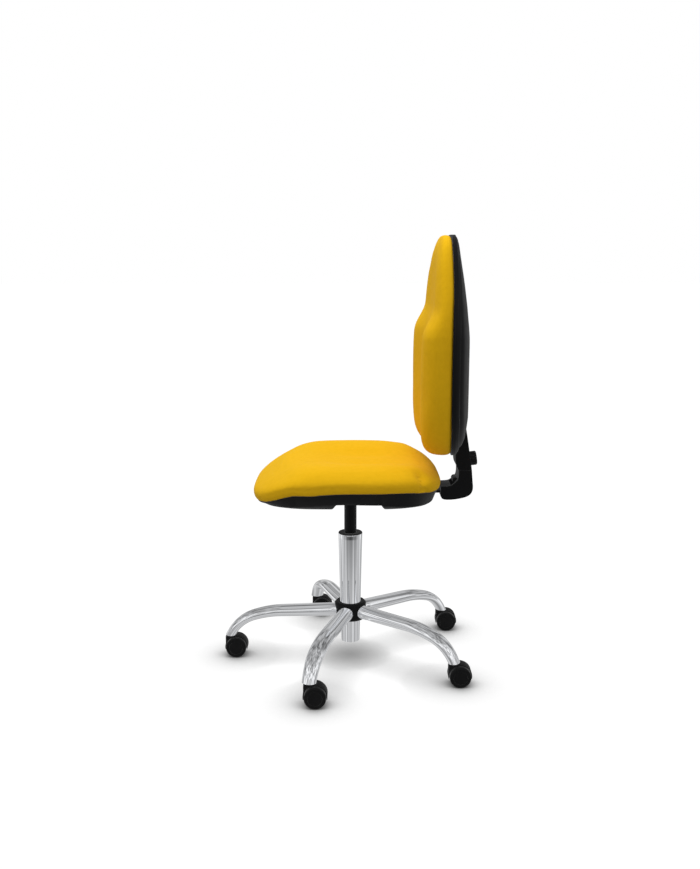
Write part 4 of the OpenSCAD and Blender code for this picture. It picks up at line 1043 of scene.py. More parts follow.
@dataclass
class Padding:
    """Swells a closed form as foam under a taut cloth, and hands the cover to the frame."""

    voxel: float = 0.005
    cap: float = 0.004
    frames: int = 20
    evenings: int = 24
    crown_rings: int = 30
    crown_edge: float = 0.994
    crown_reach: float = 0.985
    crown_power: float = 1.7
    cloth: dict[str, Union[float, bool]] = field(default_factory=lambda: {
        "quality": 4, "mass": 0.3, "tension_stiffness": 12, "compression_stiffness": 12, "bending_stiffness": 0.6,
        "use_pressure": True, "uniform_pressure_force": 4.0})

    def crown(self) -> list[float]:
        """Gives the shares of the rings over a crown, closer together towards its edge."""
        return [1 - self.crown_reach * (k / (self.crown_rings - 1)) ** self.crown_power
                for k in range(self.crown_rings)]

    def swell(self, piece: bpy.types.Object, held: Callable[[Vector], bool]) -> None:
        """Remeshes a piece evenly, fills it by a cloth simulation, and evens out how far each point swells.

        Args:
            piece: the closed form.
            held: tells whether a point is held by what the cloth is fixed to.
        """
        step = piece.modifiers.new("even mesh", "REMESH")
        step.mode = "VOXEL"
        step.voxel_size = self.voxel
        step.use_smooth_shade = True
        bake_modifiers(piece)
        pins = piece.vertex_groups.new(name="held")
        pins.add([v.index for v in piece.data.vertices if held(v.co)], 1.0, "REPLACE")
        start = [v.co.copy() for v in piece.data.vertices]
        cloth = piece.modifiers.new("cover", "CLOTH")
        for name, value in self.cloth.items():
            setattr(cloth.settings, name, value)
        cloth.settings.vertex_group_mass = "held"
        cloth.settings.effector_weights.gravity = 0.0
        cloth.point_cache.frame_start = 1
        cloth.point_cache.frame_end = self.frames
        scene = bpy.context.scene
        for number in range(1, self.frames + 1):
            scene.frame_set(number)
        ready = piece.evaluated_get(bpy.context.evaluated_depsgraph_get())
        end = [v.co.copy() for v in ready.data.vertices]
        piece.modifiers.clear()
        swell = [min(self.cap, max(0.0, (now - was).dot(vertex.normal)))
                 for vertex, was, now in zip(piece.data.vertices, start, end)]
        near: list[list[int]] = [[] for _ in start]
        for edge in piece.data.edges:
            first, second = edge.vertices
            near[first].append(second)
            near[second].append(first)
        for _ in range(self.evenings):
            swell = [0.5 * own + 0.5 * sum(swell[k] for k in around) / max(1, len(around))
                     for own, around in zip(swell, near)]
        outward = [vertex.normal.copy() for vertex in piece.data.vertices]
        for vertex, was, normal, height in zip(piece.data.vertices, start, outward, swell):
            vertex.co = was + normal * height
        scene.frame_set(1)
        piece.vertex_groups.clear()

    def cover(self, piece: bpy.types.Object, body: str, node: str) -> bpy.types.Object:
        """Makes the cover finer and hands it to the frame.

        Args:
            piece: the swelled form.
            body: the body that it rides on.
            node: the node that it stands for.

        Returns:
            The piece.
        """
        step = piece.modifiers.new("fine mesh", "SUBSURF")
        step.levels = step.render_levels = 1
        return seat_piece(piece, Slot.CLOTH, body, node)


@dataclass
class SeatCushion:
    """Seat cushion: foam with side bolsters, a dish and a waterfall front, under one stretched cloth."""

    form: SeatForm = field(default_factory=lambda: SEAT)
    padding: Padding = field(default_factory=Padding)
    rest_z: float = 0.4543
    board_share: float = 0.86
    rim_share: float = 0.927
    seam_share: float = 0.975
    side_rise: float = 0.014
    tuck: float = 0.0025
    soft_depth: float = 0.0006
    pull_depth: float = 0.00015
    pull_count: float = 60
    folds: tuple[tuple[float, ...], ...] = (
        (0.0085, 0.170, 0.020, 0.160, 0.013), (0.0055, 0.055, 0.025, 0.035, 0.06))
    side_fold_depth: float = 0.0016
    side_fold_rise: float = 0.015
    side_fold_half: float = 0.004

    def build(self) -> bpy.types.Object:
        """Builds the cushion.

        Returns:
            The piece.
        """
        form = self.form
        edge = self.padding.crown_edge
        rings = [form.ring(s, lambda x, y, v: self.rest_z) for s in (0.2, 0.45, 0.7, self.board_share)]
        rings.append(form.ring(0.89, lambda x, y, v: min(self.rest_z, form.edge_z(v))))
        rings += [form.ring(s, lambda x, y, v: form.edge_z(v)) for s in (self.rim_share, self.seam_share - 0.004)]
        rings.append(form.ring(0.988, lambda x, y, v: form.edge_z(v) + self.side_rise * 0.4))
        rings.append(form.ring(edge, lambda x, y, v: form.edge_z(v) + self.side_rise))
        rings += [form.ring(share * edge, lambda x, y, v, s=share: self.upper(x, y, v, s))
                  for share in self.padding.crown()]
        middle = -form.ahead
        piece = skin("BottomCushionCover", Vector((0, middle, self.rest_z)), rings,
                     Vector((0, middle, form.face_z(0, middle) - self.tuck)))
        self.padding.swell(piece, lambda p: p.z < form.edge_z((p.y + form.ahead) / form.half_y) + 0.004)
        self.crease(piece)
        return self.padding.cover(piece, "lift", "seat_cushion")

    def upper(self, x: float, y: float, v: float, share: float) -> float:
        """Gives the height of the upper face, slightly below its final one, since the cloth swells."""
        low = self.form.edge_z(v) + self.side_rise
        return low + (self.form.face_z(x, y) - self.tuck - low) * crown_rise(share * 0.999, 6, 2.2)

    def crease(self, piece: bpy.types.Object) -> None:
        """Adds the soft unevenness of foam and the pull of the cloth towards its edge.

        Args:
            piece: the cushion.
        """
        form = self.form
        for vertex in piece.data.vertices:
            p = vertex.co
            v = (p.y + form.ahead) / form.half_y
            above = p.z - form.edge_z(v)
            if above < 0.002:
                continue
            share = blend_share(above, 0.002, 0.02)
            soft = noise.noise(Vector((p.x * 9, p.y * 9, p.z * 12))) * self.soft_depth
            around = math.atan2(p.y + form.ahead, p.x)
            wave = math.sin(around * self.pull_count + 5 * noise.noise(p * 20))
            pull = (1 - blend_share(above, 0.004, 0.03)) * self.pull_depth * wave
            vertex.co = p + vertex.normal * (soft * share + pull - self.fold_depth(abs(p.x), p.y, above))

    def fold_depth(self, across: float, along: float, above: float) -> float:
        """Gives how deep the cloth's folds are at a place.

        Args:
            across: distance from the middle plane.
            along: place on Y.
            above: height above the seam.

        Returns:
            The depth in metres.
        """
        found = 0.0
        for depth, middle_x, half_x, middle_y, half_y in self.folds:
            found += depth * math.exp(-((across - middle_x) / half_x) ** 2 - ((along - middle_y) / half_y) ** 2)
        side = blend_share(across, 0.15, 0.2) * (1 - blend_share(along, -0.05, 0.05))
        off = (above - self.side_fold_rise) / self.side_fold_half
        return found + self.side_fold_depth * side * math.exp(-off ** 2)


@dataclass
class BackCushion:
    """Back cushion: thin above, thick below, with side bolsters and a hollow between them."""

    form: BackForm = field(default_factory=lambda: BACK)
    padding: Padding = field(default_factory=Padding)
    side_rise: float = 0.013
    gap: float = 0.0006
    tuck: float = 0.002
    soft_depth: float = 0.0006

    def build(self) -> bpy.types.Object:
        """Builds the cushion.

        Returns:
            The piece.
        """
        form = self.form
        edge = self.padding.crown_edge
        rings = [form.ring(s, lambda x, z: form.edge_y(x, z) - self.gap) for s in (0.25, 0.5, 0.75, 0.9, 0.97)]
        rings.append(form.ring(0.988, lambda x, z: form.edge_y(x, z) - self.side_rise * 0.45))
        rings.append(form.ring(edge, lambda x, z: form.edge_y(x, z) - self.side_rise))
        rings += [form.ring(share * edge, lambda x, z, s=share: self.front(x, z, s))
                  for share in self.padding.crown()]
        piece = skin("BackCushionCover", Vector((0, form.edge_y(0, form.mid_z) - self.gap, form.mid_z)), rings,
                     Vector((0, form.face_y(0, form.mid_z) + self.tuck, form.mid_z)))
        self.padding.swell(piece, lambda p: p.y > form.edge_y(p.x, p.z) - 0.004)
        for vertex in piece.data.vertices:
            p = vertex.co
            share = blend_share(form.edge_y(p.x, p.z) - p.y, 0.003, 0.02)
            soft = noise.noise(Vector((p.x * 10, p.y * 14, p.z * 10)))
            vertex.co = p + vertex.normal * share * soft * self.soft_depth
        return self.padding.cover(piece, "back", "back_cushion")

    def front(self, x: float, z: float, share: float) -> float:
        """Gives the place of the front face, slightly behind its final one, since the cloth swells.

        Args:
            x: place on X.
            z: height.
            share: share of the crown's outline.

        Returns:
            The place on Y.
        """
        low = self.form.edge_y(x, z) - self.side_rise
        edge_power = 10 + 16 * blend_share(-self.form.height_share(z), 0.4, 0.9)
        return low - (low - self.form.face_y(x, z) - self.tuck) * crown_rise(share * 0.999, edge_power, 2.6)


@dataclass
class SeatPan:
    """Moulded pan under the seat, with its raised stretch, its openings and its screw bosses."""

    form: SeatForm = field(default_factory=lambda: SEAT)
    low_z: float = 0.416
    raised_z: float = 0.436
    wall: float = 0.003
    lip: float = 0.004
    rim_share: float = 0.963
    board_share: float = 0.86
    gap: float = 0.0003
    open_rise: float = 0.01
    board_z: float = 0.442
    stretch: tuple[float, float, float] = (-0.043, 0.080, 0.011)
    screw_at: tuple[float, float] = (0.125, 0.13)
    boss_r: float = 0.007
    screw_r: float = 0.00252
    head_r: float = 0.0055
    arm_hole_x: float = 0.165
    arm_hole_ys: tuple[float, float] = (-0.02, 0.06)
    arm_hole_r: float = 0.008
    keys: tuple[tuple[float, float, float], ...] = (
        (0.2, 0, 0), (0.45, 0, 0), (0.71, 0, 0), (0.8, 0.007, 0), (0.87, 0.017, 0.002), (0.92, 0.027, 0.006),
        (0.963, 0.048, 0.02))

    def tray(self, name: str, inset: float) -> bpy.types.Object:
        """Makes the pan's outer form, or its inside.

        Args:
            name: the object's name.
            inset: 0, or the wall for the inside.

        Returns:
            The solid form.
        """
        form = self.form
        low = self.low_z + inset
        loss = inset / form.half_x
        top = self.open_rise if inset else -self.gap

        def under(v: float, share: float) -> float:
            """Gives the height of the underside.

            Args:
                v: share along the seat.
                share: share of the outline.

            Returns:
                The height.
            """
            side, end = through(self.keys, share)
            rise = max(0.0, side) * (1 - abs(v)) + max(0.0, end) * abs(v)
            return min(low + rise, form.edge_z(v) - self.lip + max(0.0, top))

        shares = [0.2, 0.45, 0.62, 0.71] + [0.71 + 0.21 * k / 12 for k in range(1, 13)]
        rings = [form.ring(s - loss, lambda x, y, v, s=s: under(v, s)) for s in shares]
        rings.append(form.ring(self.rim_share - 0.004 - loss, lambda x, y, v: form.edge_z(v) - self.lip * 0.6 + top))
        rings.append(form.ring(self.rim_share - loss, lambda x, y, v: form.edge_z(v) + top))
        rings.append(form.ring(self.board_share, lambda x, y, v: form.edge_z(v) + top))
        middle = -form.ahead
        return skin(name, Vector((0, middle, low)), rings, Vector((0, middle, form.edge_z(0) + top)))

    def raised(self, name: str, grow: float) -> bpy.types.Object:
        """Makes the space under the raised stretch, grown by the wall for the inside.

        Args:
            name: the object's name.
            grow: 0, or the wall.

        Returns:
            The object.
        """
        front, rear, slope = self.stretch
        front, rear, under, top = front - grow, rear + grow, self.low_z, self.raised_z + grow
        return prism(name, [(front, under - 0.01), (rear, under - 0.01), (rear, under), (rear - slope, top),
                            (front + slope, top), (front, under)], self.form.half_x)

    def build(self) -> bpy.types.Object:
        """Builds the pan.

        Returns:
            The piece.
        """
        piece = self.tray("BottomPanMoulding", 0.0)
        inside = self.tray("inside", self.wall)
        carve(inside, [self.raised("stretch", self.wall)])
        carve(piece, [inside, self.raised("stretch", 0.0)])
        low, board = self.low_z, self.board_z
        screw_x, screw_y = self.screw_at
        screws = [(x, y - self.form.ahead) for x in (-screw_x, screw_x) for y in (-screw_y, screw_y)]

        def upright(x: float, y: float, start: float, end: float, radius: float) -> bpy.types.Object:
            """Makes an upright round bar between two heights."""
            return rod("hole", Vector((x, y, start)), Vector((x, y, end)), radius)

        carve(piece, [upright(*at, low + self.wall / 2, board, self.boss_r) for at in screws], Cut.JOIN)
        cuts = [
            box("housing", (-0.068, -0.068, low - 0.01), (0.068, 0.130, board - 0.004)),
            box("plate", (-0.095, -0.115, board - 0.004), (0.095, 0.115, board + 0.01)),
            box("notch", (-0.041, 0.075, low - 0.01), (0.041, 0.233, board + 0.01))]
        cuts += [upright(x, y, low - 0.01, board, self.arm_hole_r)
                 for x in (-self.arm_hole_x, self.arm_hole_x) for y in self.arm_hole_ys]
        cuts += [upright(*at, low - 0.01, board + 0.01, self.screw_r) for at in screws]
        cuts += [upright(*at, low - 0.01, low + 0.003, self.head_r) for at in screws]
        carve(piece, cuts)
        smooth_shade(piece, 28)
        return seat_piece(piece, Slot.SHELL_PLASTIC, "lift", "seat_pan")


@dataclass
class BackShell:
    """Moulded shell behind the back cushion: a flange round its edge and a raised middle."""

    form: BackForm = field(default_factory=lambda: BACK)
    rear_y: float = 0.2765
    arch_r: float = 0.72
    upper_fall: float = 0.009
    top_fall: float = 0.016
    low_fall: float = 0.005
    foot_fall: float = 0.012
    rim_share: float = 0.995
    rim_h: float = 0.004
    wall: float = 0.003
    flange_h: float = 0.0165
    flange_share: float = 0.955
    groove: float = 0.003
    open_rise: float = 0.01
    boss_x: float = 0.105
    boss_zs: tuple[float, float] = (0.64, 0.9)
    boss_r: float = 0.006
    board_t: float = 0.0083

    def face_y(self, x: float, z: float) -> float:
        """Gives the place of the rear face before its edge is rounded.

        Args:
            x: place on X.
            z: height.

        Returns:
            The place on Y.
        """
        h = self.form.height_share(z)
        return (self.rear_y - x * x / (2 * self.arch_r)
                - self.upper_fall * blend_share(h, 0.03, 0.5) - self.top_fall * blend_share(h, 0.34, 0.93)
                - self.low_fall * blend_share(-h, 0.6, 0.85) - self.foot_fall * blend_share(-h, 0.8, 1))

    def skin_y(self, x: float, z: float, share: float) -> float:
        """Gives the place of the rear face at a share of the outline, with the flange and its groove.

        Args:
            x: place on X.
            z: height.
            share: share of the outline.

        Returns:
            The place on Y.
        """
        low = self.form.edge_y(x, z) + self.rim_h
        full = low + (self.face_y(x, z) - low) * crown_rise(min(1.0, share / self.rim_share), 10, 2.3)
        flange = self.form.edge_y(x, z) + self.flange_h
        if share > self.flange_share:
            near = (share - self.flange_share) / (self.rim_share - self.flange_share)
            return min(full, flange - 0.004 * near**4)
        dip = self.groove * (1 - blend_share(self.flange_share - share, 0.0, 0.025))
        return min(full, flange + (full - flange) * blend_share(self.flange_share - share, 0.0, 0.05)) - dip

    def solid(self, name: str, inset: float) -> bpy.types.Object:
        """Makes the shell's outer form, or its inside.

        Args:
            name: the object's name.
            inset: 0, or the wall for the inside.

        Returns:
            The solid form.
        """
        form = self.form
        loss = inset / form.half_x
        rim = self.open_rise if inset else 0.0
        shares = [0.1, 0.2, 0.3, 0.4, 0.5, 0.6, 0.68, 0.76, 0.82, 0.86, 0.89, 0.905, 0.92, 0.93, 0.94, 0.948,
                  0.9549, 0.9551, 0.965, 0.975, 0.984, 0.990]
        rings = [form.ring(s - loss, lambda x, z, s=s: self.skin_y(x, z, s) - inset) for s in shares]
        rings.append(form.ring(self.rim_share - loss, lambda x, z: form.edge_y(x, z) + self.flange_h - 0.008 - inset))
        rings.append(form.ring(self.rim_share - loss, lambda x, z: form.edge_y(x, z) - rim))
        rings.append(form.ring(0.5, lambda x, z: form.edge_y(x, z) - rim))
        mid = form.mid_z
        return skin(name, Vector((0, self.face_y(0, mid) - inset, mid)), rings,
                    Vector((0, form.edge_y(0, mid) - rim, mid)))

    def build(self) -> bpy.types.Object:
        """Builds the shell.

        Returns:
            The piece.
        """
        piece = self.solid("BackShellMoulding", 0.0)
        carve(piece, [self.solid("inside", self.wall)])
        board = self.form.board_at(self.boss_x) + self.board_t
        bosses = []
        for x in (-self.boss_x, self.boss_x):
            for z in self.boss_zs:
                rear = self.face_y(x, z) - self.wall / 2
                bosses.append(rod("boss", Vector((x, board, z)), Vector((x, rear, z)), self.boss_r))
        carve(piece, bosses, Cut.JOIN)
        carve(piece, [box("slot", (-0.036, 0.247, 0.51), (0.036, 0.2865, 0.602))])
        smooth_shade(piece, 30)
        return seat_piece(piece, Slot.SHELL_PLASTIC, "back", "back_shell")


@dataclass
class BackBracket:
    """Plastic covers of the bracket between the seat and the back, with rounded long edges."""

    half_x: float = 0.035
    bar_half_x: float = 0.0253
    bar_y: float = 0.264
    bar_half_t: float = 0.0033
    hinge_z: float = 0.424
    bend_r: float = 0.020
    seam_z: float = 0.478
    top_z: float = 0.655
    edge_r: float = 0.004
    knuckle_at: tuple[float, float] = (0.252, 0.450)
    knuckle_r: float = 0.007
    knuckle_half_x: float = 0.020
    knob_at: tuple[float, float] = (0.2865, 0.5)
    knob_lean: float = 7
    stud_r: float = 0.0042
    screw_x: float = 0.044
    screw_zs: tuple[float, float] = (0.598, 0.640)
    screw_r: float = 0.00302
    heel: Outline = (
        (0.216, 0.414), (0.2205, 0.4065), (0.238, 0.4055), (0.259, 0.408), (0.279, 0.413), (0.2895, 0.421),
        (0.2935, 0.434), (0.2915, 0.453), (0.2895, 0.478), (0.2885, 0.495))
    inner: Outline = (
        (0.2585, 0.495), (0.2585, 0.478), (0.2585, 0.462), (0.256, 0.453), (0.248, 0.4455), (0.240, 0.439),
        (0.216, 0.438))
    sleeve_rear: Outline = (
        (0.2905, 0.462), (0.2895, 0.4783), (0.2875, 0.4925), (0.2825, 0.526), (0.275, 0.573), (0.2695, 0.600),
        (0.2695, 0.655))
    sleeve_front: Outline = (
        (0.250, 0.655), (0.250, 0.530), (0.2505, 0.499), (0.2525, 0.488), (0.2585, 0.4783), (0.2585, 0.462))

    @staticmethod
    def soften(line: Outline, rounds: int = 2) -> list[tuple[float, float]]:
        """Cuts the corners of an open line and keeps its ends.

        Args:
            line: places on the line.
            rounds: how often the corners are cut.

        Returns:
            The softer line.
        """
        points = list(line)
        for _ in range(rounds):
            cut = [points[0]]
            for (ay, az), (by, bz) in zip(points, points[1:]):
                cut.append((ay * 0.75 + by * 0.25, az * 0.75 + bz * 0.25))
                cut.append((ay * 0.25 + by * 0.75, az * 0.25 + bz * 0.75))
            points = [*cut, points[-1]]
        return points

    def rounded(self, name: str, *lines: Outline) -> bpy.types.Object:
        """Makes a cover with rounded long edges from the lines of its side outline.

        Args:
            name: the object's name.
            lines: the open lines that make up the outline.

        Returns:
            The piece.
        """
        piece = prism(name, [place for line in lines for place in self.soften(line)], self.half_x)
        round_edges(piece, self.edge_r, 50, 4)
        bake_modifiers(piece)
        return piece

    def build(self) -> list[bpy.types.Object]:
        """Builds the two covers.

        Returns:
            The pieces.
        """
        x, y, t, z = self.bar_half_x, self.bar_y, self.bar_half_t, self.hinge_z
        lower = self.rounded("LowerBracketCover", self.heel, self.inner)
        ends = (Vector((x, *self.knuckle_at)) for x in (-self.knuckle_half_x, self.knuckle_half_x))
        knuckle = rod("knuckle", *ends, self.knuckle_r)
        round_edges(knuckle, 0.002, 50, 3)
        bake_modifiers(knuckle)
        carve(lower, [knuckle], Cut.JOIN)
        carve(lower, [
            box("seam", (-0.05, 0.2, self.seam_z), (0.05, 0.3, self.seam_z + 0.05)),
            box("bar", (-x, 0.2, z - t), (x, y + t, z + t)),
            box("bar", (-x, y - t, z - t), (x, y + t, self.seam_z + 0.01)),
            box("bar", (-x, y - self.bend_r - t, z - t), (x, y + t, z + self.bend_r + t))])
        smooth_shade(lower, 30)
        seat_piece(lower, Slot.BLACK_PLASTIC, "bracket", "lower_cover")

        sleeve = self.rounded("BackSleeveCover", self.sleeve_rear, self.sleeve_front)
        carve(sleeve, [box("flange", (-0.055, 0.2443, 0.582), (0.055, 0.2503, self.top_z))], Cut.JOIN)
        stud = Matrix.Rotation(math.radians(self.knob_lean), 3, "X") @ Vector((0, 1, 0))
        knob = Vector((0, *self.knob_at))
        cuts = [
            box("seam", (-0.05, 0.2, self.seam_z - 0.05), (0.05, 0.3, self.seam_z + 0.0003)),
            box("bar", (-x, y - t, self.seam_z - 0.01), (x, y + t, self.top_z - 0.01)),
            box("pad", (-0.0083, y + t - 0.0003, 0.4917), (0.0083, y + t + 0.0033, 0.5083)),
            rod("stud", knob - stud * 0.02, knob + stud * 0.01, self.stud_r)]
        cuts += [rod("screw", Vector((sx, 0.236, sz)), Vector((sx, 0.2765, sz)), self.screw_r)
                 for sx in (-self.screw_x, self.screw_x) for sz in self.screw_zs]
        carve(sleeve, cuts)
        smooth_shade(sleeve, 30)
        seat_piece(sleeve, Slot.BLACK_PLASTIC, "back", "back_sleeve")
        return [lower, sleeve]


@dataclass
class StarBase:
    """The chrome tube arms, drawn along the same line as their solids but smooth, and oval across it."""

    circle_r: float = 0.297
    root_r: float = 0.029
    root_z: float = 0.1185
    fall: float = 1.25
    root_d: float = 0.032
    bend_d: float = 0.0285
    end_d: float = 0.0225
    wall: float = 0.002
    long_r: float = 0.250
    long_turn: float = 18.0
    short_r: float = 0.095
    end_turn: float = 64.0
    end_lead: float = 1.5
    end_z: float = 0.0535
    sides: int = 48
    straight_steps: int = 16
    long_steps: int = 14
    short_steps: int = 22
    half_widths: Outline = (
        (0.029, 0.0165), (0.048, 0.0192), (0.20, 0.0203), (0.25, 0.0198), (0.28, 0.0180), (0.297, 0.0166))

    def line(self) -> list[tuple[float, float, float]]:
        """Gives places along an arm up to its short bend: distance from the column, height and slope in radians.

        Returns:
            The places.
        """
        a0, a1, a2 = (math.radians(a) for a in (self.fall, self.long_turn, self.end_turn))
        bends_x = self.long_r * (math.sin(a1) - math.sin(a0)) + self.short_r * (math.sin(a2) - math.sin(a1))
        bends_z = self.long_r * (math.cos(a0) - math.cos(a1)) + self.short_r * (math.cos(a1) - math.cos(a2))
        left_x = self.circle_r - self.root_r - bends_x
        left_z = self.root_z - self.end_z - bends_z
        straight = (left_x * math.sin(a2) - left_z * math.cos(a2)) / math.sin(a2 - a0)
        places = []
        for k in range(self.straight_steps + 1):
            t = straight * k / self.straight_steps
            places.append((self.root_r + t * math.cos(a0), self.root_z - t * math.sin(a0), a0))
        x, z, _ = places[-1]
        for k in range(1, self.long_steps + 1):
            a = a0 + (a1 - a0) * k / self.long_steps
            places.append((x + self.long_r * (math.sin(a) - math.sin(a0)),
                           z - self.long_r * (math.cos(a0) - math.cos(a)), a))
        return places

    def build(self) -> list[bpy.types.Object]:
        """Builds the arms.

        Returns:
            The pieces.
        """
        places = self.line()
        bend_x = places[self.straight_steps][0]
        turn_x, turn_z, turn_a = places[-1]
        mid_z = turn_z - self.short_r * math.cos(turn_a)

        def half_height(x: float) -> float:
            """Gives half the arm's height at a distance from the column.

            Args:
                x: the distance.

            Returns:
                Half the height.
            """
            if x < bend_x:
                return (self.root_d + (self.bend_d - self.root_d) * (x - self.root_r) / (bend_x - self.root_r)) / 2
            share = min(1.0, (x - bend_x) / (self.circle_r - bend_x))
            return (self.bend_d + (self.end_d - self.bend_d) * share) / 2

        def bend_place(a: float) -> tuple[float, float, float]:
            """Gives the place on the short bend at a slope."""
            return (turn_x + self.short_r * (math.sin(a) - math.sin(turn_a)),
                    turn_z - self.short_r * (math.cos(turn_a) - math.cos(a)), a)

        def point(place: tuple[float, float, float], high: float, wide: float, b: float) -> Vector:
            """Gives a point round a place on the arm's line."""
            x, z, a = place
            up = high * math.sin(b)
            return Vector((x + up * math.sin(a), wide * math.cos(b), z + up * math.cos(a)))

        def last_slope(rise: float) -> float:
            """Gives the slope at which a line at a height over the arm's line has its last ring."""
            reach = math.acos((self.end_z - mid_z) / (self.short_r + rise))
            return min(math.radians(self.end_turn), reach) - math.radians(self.end_lead)

        def rings(inset: float) -> list[Ring]:
            """Draws the rings of the outside, or of the round bore where inset is the wall.

            Args:
                inset: 0, or the wall.

            Returns:
                The rings.
            """
            around = turns(self.sides)

            def half_width(x: float) -> float:
                """Gives half the width at a distance from the column."""
                return half_height(x) - inset if inset else through(self.half_widths, x)[0]

            found = [[point(p, half_height(p[0]) - inset, half_width(p[0]), b) for b in around] for p in places]
            steps = self.short_steps
            for step in range(1, steps + 1):
                nominal = bend_place(turn_a + (math.radians(self.end_turn) - turn_a) * step / steps)[0]
                high, wide = half_height(nominal) - inset, half_width(nominal)
                slopes = [turn_a + (last_slope(high * math.sin(b)) - turn_a) * step / steps for b in around]
                found.append([point(bend_place(a), high, wide, b) for a, b in zip(slopes, around)])
            high, wide = self.end_d / 2 - inset, half_width(self.circle_r)
            end = []
            for b in around:
                a = last_slope(high * math.sin(b))
                p = point(bend_place(a), high, wide, b)
                t = (p.z - self.end_z) / math.sin(a)
                end.append(Vector((p.x + t * math.cos(a), p.y, self.end_z)))
            return [*found, end]

        skin_rings = rings(0.0) + rings(self.wall)[::-1]
        arms = []
        for number in range(1, ARMS + 1):
            arm = loop_skin(f"ArmTube_{number}", skin_rings)
            arm.data.transform(Matrix.Rotation(arm_turn(number), 4, "Z"))
            smooth_shade(arm, 40)
            arms.append(seat_piece(arm, Slot.CHROME, "base", f"base_arm_{number}"))
        return arms


@dataclass
class CastorWheels:
    """Twin wheels with a rounded tread, a domed disc and a cap."""

    circle_r: float = 0.297
    trail: float = 0.0136
    wheel_r: float = 0.025
    sides: int = 96
    profile: Outline = (
        (0.0, 0.022), (0.00305, 0.022), (0.00305, 0.008), (0.008, 0.008), (0.008, 0.022), (0.021, 0.022),
        (0.021, 0.008), (0.0232, 0.008), (0.0240, 0.0083), (0.0247, 0.0091), (0.0250, 0.0100), (0.0250, 0.0150),
        (0.0250, 0.0208), (0.0248, 0.0222), (0.0243, 0.0234), (0.0235, 0.0243), (0.0223, 0.0249), (0.0200, 0.0253),
        (0.0175, 0.0255), (0.0171, 0.0253), (0.0170, 0.0249), (0.0161, 0.0249), (0.0160, 0.0254), (0.0156, 0.0258),
        (0.0120, 0.02595), (0.0060, 0.0260), (0.0, 0.0260))

    def build(self) -> list[bpy.types.Object]:
        """Builds the ten wheels."""
        return [self.wheel(number, side) for number in range(1, ARMS + 1) for side in Side]

    def wheel(self, number: int, side: Side) -> bpy.types.Object:
        """Builds one wheel.

        Args:
            number: the castor's number.
            side: the wheel's side.

        Returns:
            The piece.
        """
        word = side.name.lower()
        a = arm_turn(number)
        x, y = self.circle_r * math.cos(a), self.circle_r * math.sin(a)
        piece = lathe(f"CastorWheel_{number}_{word}", [(r, px * side.value) for r, px in self.profile], self.sides)
        piece.data.transform(Matrix.Translation((x, y + self.trail, self.wheel_r)))
        smooth_shade(piece, 34)
        return seat_piece(piece, Slot.WHEEL_PLASTIC, f"castor_{number}_{word}", f"castor_{number}_wheel_{word}")


@dataclass
class FrameSolids:
    """The solids that keep their own mesh: each gets its finish and softly rounded edges."""

    widths: dict[str, float] = field(default_factory=lambda: {
        "base_hub": 0.0012, "castor_hood": 0.0008, "height_knob": 0.0006, "gas_lever_grip": 0.0022,
        "tilt_lever_grip": 0.0022, "mechanism_housing": 0.0006, "seat_board": 0.001, "back_board": 0.001,
        "column_tube": 0.0004, "guide_bush": 0.0006, "gas_cylinder": 0.0004, "back_bar": 0.0008})
    join_reach: float = 0.00001

    def build(self, record: dict, nodes: dict[str, bpy.types.Object], replaced: set[str]) -> None:
        """Dresses the solids.

        Args:
            record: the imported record.
            nodes: the frame's nodes.
            replaced: names of the nodes that a new piece stands for.
        """
        slots = {part["node"]: Slot(part["material_slot"]) for part in record["subparts"]}
        for name, solid in sorted(nodes.items()):
            dress(solid, slots[name])
            if name in replaced:
                continue
            weld = solid.modifiers.new("joined points", "WELD")
            weld.merge_threshold = self.join_reach
            kind = "castor_hood" if name.endswith("_hood") else name
            solid.visible_glossy = slots[name] is Slot.CHROME
            if kind in self.widths:
                round_edges(solid, self.widths[kind])
            smooth_shade(solid)
            log.info("%s keeps its solid in %s", name, slots[name].value)


